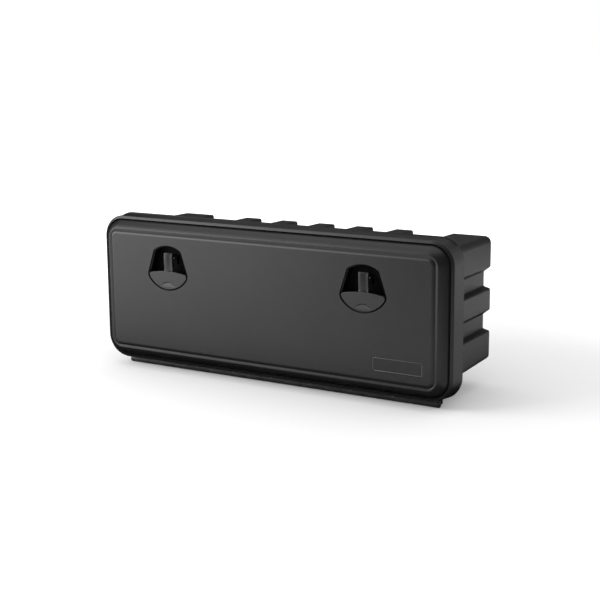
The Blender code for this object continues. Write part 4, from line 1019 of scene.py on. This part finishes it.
def make_housing(side, x):
    """Cup, flange and lug, less the arms' slots, the pivot's bore and the screws' holes."""
    housing = skin("housing_cup_" + side, cup_rings(x, LEDGE, CUP_FLOOR_Y)[::-1]
                   + cup_rings(x, LEDGE - CUP_WALL, CUP_REAR_Y))
    flange = round_rectangle(CUP_FLANGE_HALF, LATCH_LOW_Z, CUP_FLANGE_HIGH_Z, CUP_FLANGE_CORNER, x)
    inner = latch_at(x, LEDGE - CUP_WALL / 2)
    plate = cut(prism("flange_tool", flange, CUP_FLANGE_Y, CUP_FLANGE_Y + CUP_FLANGE_THICK),
                prism("flange_hole", inner, CUP_FLANGE_Y - OVERRUN,
                      CUP_FLANGE_Y + CUP_FLANGE_THICK + OVERRUN))
    pin_half = STEM_WIDTH / 2
    cheek_inner = pin_half - CHEEK_THICK
    lug = cheek_inner - LUG_GAP
    join(housing, plate, side_prism("lug_tool", lug_outline(), x - lug, x + lug))
    slot_top = PIVOT_Z + ARM_HEIGHT / 2 + SLOT_MARGIN / 2
    slot_low = PIVOT_Z - HANDLE_OPEN_DROP + SLOT_MARGIN
    tools = []
    for hand in (-1, 1):
        low_x, high_x = sorted((x + hand * (cheek_inner - LUG_GAP / 2),
                                x + hand * (pin_half + LUG_GAP)))
        tools.append(box("slot_tool", (low_x, CUP_FLOOR_Y - OVERRUN, slot_low),
                         (high_x, CUP_REAR_Y + OVERRUN, slot_top)))
    tools.append(pivot_bore("lug_bore", x, pin_half))
    hole = [(SCREW_RADIUS + PLAY, 0.0), (SCREW_RADIUS + PLAY, CUP_FLANGE_THICK + 2 * OVERRUN)]
    tools += [turned("flange_bore", hole, (px, CUP_FLANGE_Y - OVERRUN, pz), (0, 1, 0))
              for px, pz in boss_places(x)]
    cut(housing, *tools)
    # The cup's near-black, dull material paints the shade inside the well
    place_piece(housing, "lid", ["latch_housing_" + side], WELL_SHADE_PLASTIC)


def pivot_bore(name, x, half):
    """Cutter for the pivot pin's hole, as far as half to each side."""
    bore = [(PIVOT_RADIUS + PLAY, 0.0), (PIVOT_RADIUS + PLAY, 2 * half)]
    return turned(name, bore, (x - half, PIVOT_Y, PIVOT_Z), (1, 0, 0))


def crescent_outline():
    """The latch outline below a gently arched top; a quadratic bend rounds each horn."""
    radius = ((LATCH_WIDTH / 2) ** 2 + CRESCENT_TOP_RISE ** 2) / (2 * CRESCENT_TOP_RISE)
    centre_z = CRESCENT_TOP - radius
    lower = latch_outline(HANDLE_GAP)
    under = lower[:, 1] < centre_z + np.sqrt(radius ** 2 - lower[:, 0] ** 2)
    side = lower[under & (lower[:, 0] > MERGE)]
    side = side[np.argsort(side[:, 1])]
    horn = side[-1]
    top = arc(0.0, centre_z, radius, pi / 2 - asin(horn[0] / radius), pi / 2, 3 * ARC_STEPS)
    side = side[np.linalg.norm(side - horn, axis=1) > CRESCENT_CORNER]
    top = top[np.linalg.norm(top - horn, axis=1) > CRESCENT_CORNER]
    right = np.vstack([side, bend(side[-1], horn, top[0], 2 * SMALL_STEPS)[1:-1], top])
    return np.vstack([right, right[:-1][::-1] * np.array([-1.0, 1.0])])


def crescent(name, x):
    """Rings of the outline, drawn in by a quarter round toward the front face."""
    outline = moved(crescent_outline(), x, LATCH_LOW_Z)
    rear = FRONT_Y + CRESCENT_THICK
    soft = CRESCENT_ROUND / 3
    rings = [at_depth(shifted(outline, soft), rear), at_depth(outline, rear - soft)]
    rings += [at_depth(shifted(outline, inset), FRONT_Y + back)
              for inset, back in quarter_round(CRESCENT_ROUND)]
    return skin(name, rings)


def thumb_tool(x):
    """Dish under an arch: a wall falls from the arch to a flat floor that meets the low edge.

    Ring t is the arch drawn in toward a middle a quarter of the way up; it lies on a plane that
    starts at the chord, and its depth at the arch's top grows evenly with t to THUMB_DEPTH.
    """
    centre_z = LATCH_LOW_Z + THUMB_TOP - THUMB_RADIUS
    low = LATCH_LOW_Z + THUMB_LOW
    high = LATCH_LOW_Z + THUMB_TOP
    reach = asin((low - centre_z) / THUMB_RADIUS)
    outline = arc(x, centre_z, THUMB_RADIUS, reach, pi - reach, 3 * ARC_STEPS)
    rings = [at_depth(outline, FRONT_Y - OVERRUN)]
    middle = np.array([x, low + (high - low) / 4])
    for t in np.linspace(0.0, 1.0, ARC_STEPS)[1:]:
        inner = middle + (outline - middle) * (1 - np.array(THUMB_DRAW_IN) * t)
        rise = (inner[:, 1] - low) / (high - low)
        depth = THUMB_DEPTH * min(1.0, t / THUMB_WALL_SHARE) * rise
        rings.append(np.column_stack([inner[:, 0], FRONT_Y + depth, inner[:, 1]]))
    return skin("thumb_tool", rings)


# Front of the stem, across: mm from its middle, and share of its thickness below its highest line
BAR_SECTION = np.array([
    (-10.0, 0.62), (-9.8, 0.36), (-9.3, 0.18), (-8.6, 0.07), (-7.6, 0.01), (-6.4, 0.0),
    (-5.2, 0.03), (-4.0, 0.10), (-2.8, 0.21), (-1.4, 0.37), (0.2, 0.58), (2.0, 0.80), (3.6, 0.94),
    (5.0, 1.0), (6.2, 1.0), (6.9, 0.80), (7.3, 0.35), (7.7, 0.1), (8.3, 0.0), (9.2, 0.03),
    (9.7, 0.15), (9.95, 0.33)])


def stem_front(z):
    """Depth of the stem's highest line: two parabolas that meet at the crown.

    1 - exp(-height / fillet) brings them out of the crescent's face.
    """
    low = LATCH_LOW_Z + CRESCENT_TOP
    top = PIVOT_Z + STEM_RISE
    t = (z - low) / (top - low)
    below = STEM_CROWN + (STEM_WAIST - STEM_CROWN) * ((CROWN_SHARE - t) / CROWN_SHARE) ** 2
    above = STEM_CROWN + STEM_TOP_FALL * ((t - CROWN_SHARE) / (1 - CROWN_SHARE)) ** 2
    blend_in = 1 - np.exp(-np.maximum(z - low, 0.0) / STEM_FILLET)
    return np.where(t < CROWN_SHARE, below, above) * blend_in + PLAY


def stem_bar(x):
    """Bar on a grid: rows rise up the stem, columns follow its section and a flat rear.

    The channel fades out toward the top end, whose edge is a quarter round.
    """
    low = LATCH_LOW_Z + CRESCENT_TOP - 2 * CRESCENT_TOP_RISE
    top = PIVOT_Z + STEM_RISE
    soft = STEM_FILLET
    z = np.concatenate([np.linspace(low, top - soft, STEM_ROWS),
                        top - soft * (1 - np.sin(np.linspace(0.0, pi / 2, SMALL_STEPS + 1)[1:]))])
    turn_in = soft - np.sqrt(np.maximum(soft ** 2 - np.maximum(z - top + soft, 0.0) ** 2, 0.0))
    fade = np.clip((top - z) / CHANNEL_END, 0.0, 1.0)
    fade = fade * fade * (3 - 2 * fade)
    across, share = BAR_SECTION[:, 0] / MM_PER_METRE, BAR_SECTION[:, 1]
    edge = np.where(np.abs(across) > STEM_WIDTH / 2 - soft, share, 0.0)
    share = fade[:, None] * share + (1 - fade[:, None]) * edge
    front = (stem_front(z) + turn_in)[:, None]
    y = FRONT_Y + front + share * (BAR_REAR - PLAY - front)
    across = x + np.concatenate([across, across[[-1, 0]]])
    y = np.hstack([y, np.full((len(z), 2), FRONT_Y + BAR_REAR)])
    x_grid, z_grid = np.broadcast_to(across, y.shape), np.broadcast_to(z[:, None], y.shape)
    return skin("bar_tool", np.stack([x_grid, y, z_grid], -1))


def cheek(left, right):
    """Cheek behind the bar with its arm, every corner rounded, carried across its width."""
    low = LATCH_LOW_Z + CRESCENT_TOP - CRESCENT_TOP_RISE
    top = PIVOT_Z + STEM_RISE - STEM_FILLET
    front = FRONT_Y + BAR_REAR - CUP_WALL / 2
    back = FRONT_Y + STEM_DEPTH
    arm_end = PIVOT_Y + ARM_LENGTH
    arm_low = PIVOT_Z - ARM_HEIGHT / 2
    arm_top = PIVOT_Z + ARM_HEIGHT / 2
    hub = PIVOT_Y + LUG_RADIUS + PLAY
    corners = [(front, top), (front, low), (back, low), (back, arm_low - ARM_HEIGHT),
               (hub, arm_low), (arm_end, arm_low), (arm_end, arm_top), (hub, arm_top),
               (PIVOT_Y, top)]
    radii = [CHEEK_ROUND] * 3 + [ARM_ROOT] + [ARM_ROUND] * 3 + [ARM_ROOT, CHEEK_TOP_ROUND]
    outline = rounded(corners, radii)
    rings = [np.column_stack([np.full(len(outline), px), shifted(outline, inset)])
             for px, inset in cheek_rings(left, right)]
    return skin("cheek_tool", rings)


def cheek_rings(left, right):
    """Places across a cheek and how far its outline is drawn in there: round at both sides."""
    first = [(left + across, inset)
             for across, inset in quarter_round(CHEEK_SOFT, SMALL_STEPS - 1)]
    return first + [(left + right - px, inset) for px, inset in first[::-1]]


def make_handle(side, x):
    """Crescent with its dish, joined to the stem's bar and cheeks, and the domed pivot pin."""
    handle = crescent("pull_" + side, x)
    cut(handle, thumb_tool(x))
    half = STEM_WIDTH / 2
    inner = half - CHEEK_THICK
    join(handle, stem_bar(x), cheek(x - half + PLAY, x - inner), cheek(x + inner, x + half - PLAY))
    pin_half = half + PIVOT_PROUD
    cut(handle, pivot_bore("bore_tool", x, pin_half))
    place_piece(handle, side + "_handle", ["latch_handle_" + side], LATCH_PLASTIC)
    dome = [(PIVOT_RADIUS * sin(a), PIVOT_PROUD * (1 - cos(a)))
            for a in np.linspace(PIVOT_DOME_START, pi / 2, SMALL_STEPS + 1)]
    profile = dome + [(radius, 2 * pin_half - along) for radius, along in dome[::-1]]
    pin = turned("pivot_rod_" + side, profile, (x - pin_half, PIVOT_Y, PIVOT_Z), (1, 0, 0))
    place_piece(pin, side + "_handle", ["pivot_pin_" + side], STEEL)


def make_spring(side, x):
    """Tube round a helix whose first and last turns lie close, as ground ends do.

    Its foot stands in the guide.
    """
    low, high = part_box("return_spring_" + side)
    middle_y = (low.y + high.y) / 2
    radius = (high.x - low.x) / 2 - SPRING_WIRE
    t = np.linspace(0.0, 1.0, SPRING_TURNS * SPRING_TURN_STEPS + 1)
    rise = np.clip((t - SPRING_END_SHARE) / (1 - 2 * SPRING_END_SHARE), 0.0, 1.0)
    angle = 2 * pi * SPRING_TURNS * t
    centre = np.array([x, middle_y, low.z + SPRING_WIRE])
    span = high.z - low.z - 2 * SPRING_WIRE
    up = np.array([0.0, 0.0, 1.0])
    out = np.column_stack([np.cos(angle), np.sin(angle), np.zeros_like(t)])
    path = centre + radius * out + np.outer(rise * span, up)
    turn = 2 * pi * np.arange(SPRING_SIDES) / SPRING_SIDES
    rings = path[:, None] + SPRING_WIRE * (np.cos(turn)[None, :, None] * out[:, None]
                                           + np.sin(turn)[None, :, None] * up)
    spring = skin("spring_coil_" + side, rings)
    place_piece(spring, "lid", ["return_spring_" + side], STEEL)
    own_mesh(spring)


# Fasteners and fittings

def body_of_node(node):
    """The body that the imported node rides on."""
    return frame["nodes"][node]["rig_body"]


def axis_line(node, axis):
    """Start and length of a fastener's axis, and its head's radius, from the node's box."""
    low, high = (np.array(corner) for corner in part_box(node))
    along = abs(axis) @ (high - low)
    return (low + high) / 2 - axis * along / 2, along, (high - low)[axis == 0].max() / 2


def make_rivet(node, axis):
    """Shank under a dome: the head's height falls with the fourth power of the radius."""
    axis = np.array(axis, dtype=float)
    start, along, across = axis_line(node, axis)
    head, shank = across * RIVET_HEAD, across * RIVET_SHANK
    profile = [(across * r, head * r ** 4 * RIVET_DOME_DEPTH)
               for r in np.linspace(RIVET_CAP, 1.0, SMALL_STEPS + 1)]
    profile += [(across, head), (shank, head), (shank, along - shank / 4),
                (shank * RIVET_END, along)]
    rivet = turned(node + "_dome", profile, start, axis, FASTENER_SIDES)
    place_piece(rivet, body_of_node(node), [node], STEEL)


def make_screw(node, axis):
    """Pan head with a cross recess, on a plain shank.

    The head's height falls as 1 - sqrt(1 - r^4) toward its edge.
    """
    axis = np.array(axis, dtype=float)
    start, along, across = axis_line(node, axis)
    head, shank = across * SCREW_HEAD, across * SCREW_SHANK
    profile = [(across * r, head * (1 - sqrt(1 - r ** 4)) * SCREW_DOME_DEPTH) for r in SCREW_DOME]
    profile += [(across, head * SCREW_EDGE_DEPTH), (across, head), (shank, head),
                (shank, along - shank), (shank * SCREW_END, along)]
    screw = turned(node + "_head", profile, start, axis, FASTENER_SIDES)
    arm, slot = across * RECESS_ARM, across * RECESS_SLOT
    ahead = start - axis * OVERRUN
    floor = start + axis * (head * RECESS_DEPTH)
    tools = []
    for wide, tall in ((arm, slot), (slot, arm)):
        half = np.array([wide, 0.0, tall])
        corners = np.array([ahead - half, ahead + half, floor - half, floor + half])
        tools.append(box("recess_tool", corners.min(0), corners.max(0)))
    cut(screw, *tools)
    place_piece(screw, body_of_node(node), [node], STEEL)


def refine(node, name, material, width=0.0):
    """Merged copy of a node's mesh; a width gives its corners a small round, by a Bevel."""
    mesh = frame["nodes"][node].data.copy()
    weld(mesh)
    piece = new_object(name, mesh)
    if width:
        bevel = piece.modifiers.new("soft_edges", "BEVEL")
        bevel.width = width
        bevel.segments = 2
        bevel.limit_method = "ANGLE"
        bevel.angle_limit = BEVEL_TURN
    place_piece(piece, body_of_node(node), [node], material)


def make_fittings():
    """Rivets and screws, the hinge's chamfered pin and its leaves, and each latch's steel."""
    for number in range(1, RIVETS_EACH_LEAF + 1):
        make_rivet(f"lid_hinge_rivet_{number}", (0, 0, 1))
        make_rivet(f"body_hinge_rivet_{number}", (0, 1, 0))
    for number in range(1, FASTENERS_EACH_SET + 1):
        make_rivet(f"strike_rivet_{number}", (0, 0, 1))
        for side, _ in SIDES:
            make_screw(f"housing_screw_{side}_{number}", (0, -1, 0))
            make_screw(f"guide_screw_{side}_{number}", (0, -1, 0))
    low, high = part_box("hinge_pin")
    radius = (high.z - low.z) / 2
    length = high.x - low.x
    tip, slope = radius * (1 - PIN_CHAMFER), radius * PIN_CHAMFER
    profile = [(tip, 0.0), (radius, slope), (radius, length - slope), (tip, length)]
    start = (low.x, (low.y + high.y) / 2, (low.z + high.z) / 2)
    pin = turned("hinge_rod", profile, start, (1, 0, 0))
    place_piece(pin, body_of_node("hinge_pin"), ["hinge_pin"], STEEL)
    refine("lid_hinge_leaf", "lid_leaf", BLACK_STEEL)
    refine("body_hinge_leaf", "body_leaf", BLACK_STEEL)
    for side, _ in SIDES:
        for node, name, material, slot in (
                ("strike_plate_", "strike_angle_", STEEL, "bare_steel"),
                ("latch_bolt_", "bolt_bar_", STEEL, "bare_steel"),
                ("bolt_guide_", "guide_block_", LATCH_PLASTIC, "latch_plastic")):
            refine(node + side, name + side, material, FITTING_BEVEL)


# Stage

CAMERA_PLACE = (1.25862, -2.02945, 0.62921)
CAMERA_YAW = radians(31.605)
CAMERA_PITCH = radians(11.489)
CAMERA_ROLL = radians(0.505)
CAMERA_LENS = 77.43
SENSOR_WIDTH = 36.0
WHITE = (1.0, 1.0, 1.0, 1.0)
WORLD_LEVEL = 0.95
FLOOR_HALF = 30.0
FLOOR_GREY = 0.88
# The floor's own light, and the distances from its middle where it has these levels
LIFT = (0.08, 0.70)
LIFT_REACH = (0.55, 1.5)
LAMP_AIM = (0.0, 0.0, 0.15)
# Azimuth and elevation in degrees, distance, width, height, watts
SOFTBOXES = (("strip_softbox", 59.0, 16.0, 3.2, 1.0, 1.8, 40.0),
             ("key_softbox", 37.0, 30.0, 3.2, 1.3, 1.1, 29.0))
# Sheets that only reflections see: they paint dark reflections into the box's shine, and the grey
# ones glow as painted dim reflections
SHEET_STRIPS = 24
# Azimuths of both ends in degrees, radius, height, grey of the painted reflection's glow
HUNG_REFLECTION_SHEETS = (("left_curtain", 70.0, 124.0, 0.95, 1.0, 0.0),
            ("rear_curtain", 118.0, 222.0, 1.5, 1.7, 0.09),
            ("right_curtain", 15.0, -106.0, 1.0, 1.4, 0.0))
# Front left corner, rear right corner, grey of the painted reflection's glow
FLAT_REFLECTION_SHEETS = (("table_cloth", (-0.97, -0.25), (0.42, 0.60), 0.0),
                ("side_cloth", (0.42, -0.25), (1.05, 1.00), 0.60))


def make_camera():
    """Looks along yaw and pitch, then rolls its picture about that line."""
    yaw, pitch, roll = CAMERA_YAW, CAMERA_PITCH, CAMERA_ROLL
    forward = Vector((-sin(yaw) * cos(pitch), cos(yaw) * cos(pitch), -sin(pitch)))
    right = Vector((cos(yaw), sin(yaw), 0.0))
    down = forward.cross(right)
    image_right = cos(roll) * right + sin(roll) * down
    image_down = -sin(roll) * right + cos(roll) * down
    turn = Matrix([image_right, -image_down, -forward]).transposed().to_4x4()
    camera = new_object("camera", bpy.data.cameras.new("camera"))
    camera.data.sensor_width = SENSOR_WIDTH
    camera.data.lens = CAMERA_LENS
    camera.matrix_world = Matrix.Translation(CAMERA_PLACE) @ turn
    bpy.context.scene.camera = camera


def white_for_camera(tree):
    """1 on rays from the camera and on mirrored and refracted rays."""
    rays = new_node(tree, "ShaderNodeLightPath").outputs
    seen = calculated(tree, "MAXIMUM", rays["Is Camera Ray"], rays["Is Glossy Ray"])
    return calculated(tree, "MAXIMUM", seen, rays["Is Transmission Ray"])


def make_world():
    """White all round: of strength 1 on the rays that see it, and of a plain level as light."""
    world = bpy.data.worlds.new("studio")
    bpy.context.scene.world = world
    world.use_nodes = True
    tree = world.node_tree
    sky = tree.nodes["Background"]
    sky.inputs["Color"].default_value = WHITE
    strength = ranged(tree, white_for_camera(tree), WORLD_LEVEL, 1.0, 0.0, 1.0)
    tree.links.new(strength, sky.inputs["Strength"])


def matt(name, grey):
    """Material of one dull grey, white where it glows, and its shader."""
    material = bpy.data.materials.new(name)
    material.use_nodes = True
    shader = material.node_tree.nodes["Principled BSDF"]
    shader.inputs["Base Color"].default_value = (grey, grey, grey, 1.0)
    shader.inputs["Specular IOR Level"].default_value = 0.0
    shader.inputs["Emission Color"].default_value = WHITE
    return material, shader


def make_floor():
    """White ground that shows the shadow; the lift, more of it far off, keeps it full white.

    It stays level with the feet, or with the lid's upper edge once that hangs lower.
    """
    half = FLOOR_HALF
    mesh = bpy.data.meshes.new("floor")
    mesh.from_pydata([(-half, -half, 0.0), (half, -half, 0.0), (half, half, 0.0),
                      (-half, half, 0.0)], [], [(0, 1, 2, 3)])
    floor = new_object("floor", mesh)
    material, shader = matt("floor_white", FLOOR_GREY)
    shader.inputs["Roughness"].default_value = 1.0
    tree = material.node_tree
    reach = new_node(tree, "ShaderNodeVectorMath", operation="LENGTH")
    place = new_node(tree, "ShaderNodeTexCoord").outputs["Object"]
    tree.links.new(place, reach.inputs[0])
    lift = ranged(tree, reach.outputs["Value"], *LIFT, *LIFT_REACH,
                  interpolation_type="SMOOTHSTEP")
    glow = calculated(tree, "MULTIPLY", white_for_camera(tree), lift)
    tree.links.new(glow, shader.inputs["Emission Strength"])
    mesh.materials.append(material)
    edge = new_object("lid_upper_edge", None)
    edge.location = (0.0, FRONT_Y, LID_TOP)
    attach(edge, "lid")
    follow = floor.constraints.new("COPY_LOCATION")
    follow.target = edge
    follow.use_x = follow.use_y = False
    stop = floor.constraints.new("LIMIT_LOCATION")
    stop.use_max_z = True


def around(azimuth, elevation, distance):
    """Places on a sphere: azimuths in degrees left of the box's front, one elevation above it.

    Minus sine and minus cosine of the azimuth times the elevation's cosine, and its sine.
    """
    turn, up = np.radians(azimuth), radians(elevation)
    return np.stack([-np.sin(turn) * cos(up), -np.cos(turn) * cos(up),
                     np.full_like(turn, sin(up))], -1) * distance


def softbox(name, azimuth, elevation, distance, width, height, power):
    """Rectangular lamp that looks at the middle of the box."""
    lamp = new_object(name, bpy.data.lights.new(name, "AREA"))
    lamp.data.shape = "RECTANGLE"
    lamp.data.size = width
    lamp.data.size_y = height
    lamp.data.energy = power
    place = Vector(around(azimuth, elevation, distance))
    lamp.location = place
    lamp.rotation_euler = (Vector(LAMP_AIM) - place).to_track_quat("-Z", "Y").to_euler()


def reflection_only_sheet(name, near, far, grey):
    """Sheet between two rows of points, which only reflections see: it paints a dark reflection,
    and with grey above 0 it glows as a painted grey reflection; grey 0 is black.
    """
    count = len(near)
    first = np.arange(count - 1)
    faces = np.stack([first, first + 1, first + 1 + count, first + count], -1)
    mesh = bpy.data.meshes.new(name)
    mesh.from_pydata(np.vstack([near, far]), [], faces.tolist())
    material, shader = matt(name, 0.0)
    shader.inputs["Emission Strength"].default_value = grey
    mesh.materials.append(material)
    sheet = new_object(name, mesh)
    sheet.visible_camera = False
    sheet.visible_diffuse = False
    sheet.visible_shadow = False


def hung_reflection_sheet(name, start, stop, radius, height, grey):
    """Upright sheet of painted reflection: an arc of even azimuths from start to stop, from the
    floor to its height.
    """
    foot = around(np.linspace(start, stop, SHEET_STRIPS + 1), 0.0, radius)
    reflection_only_sheet(name, foot, foot + np.array([0.0, 0.0, height]), grey)


def table_cloth(name, low, high, grey):
    """Flat sheet of painted reflection just above the floor, between two corners."""
    front, rear = (np.array([(low[0], y, OVERRUN / 2), (high[0], y, OVERRUN / 2)])
                   for y in (low[1], high[1]))
    reflection_only_sheet(name, front, rear, grey)


def main():
    """The stage, then every piece, then the view transform."""
    make_camera()
    make_world()
    make_floor()
    for lamp in SOFTBOXES:
        softbox(*lamp)
    # Painted reflections: dark and glowing sheets that only reflections see
    for reflection_sheet in HUNG_REFLECTION_SHEETS:
        hung_reflection_sheet(*reflection_sheet)
    for reflection_sheet in FLAT_REFLECTION_SHEETS:
        table_cloth(*reflection_sheet)
    make_lid()
    make_badge()
    make_seal()
    make_body()
    for side, x in SIDES:
        make_gasket(side, x)
        make_housing(side, x)
        make_handle(side, x)
        make_spring(side, x)
    make_fittings()
    bpy.context.scene.view_settings.view_transform = "Standard"


main()
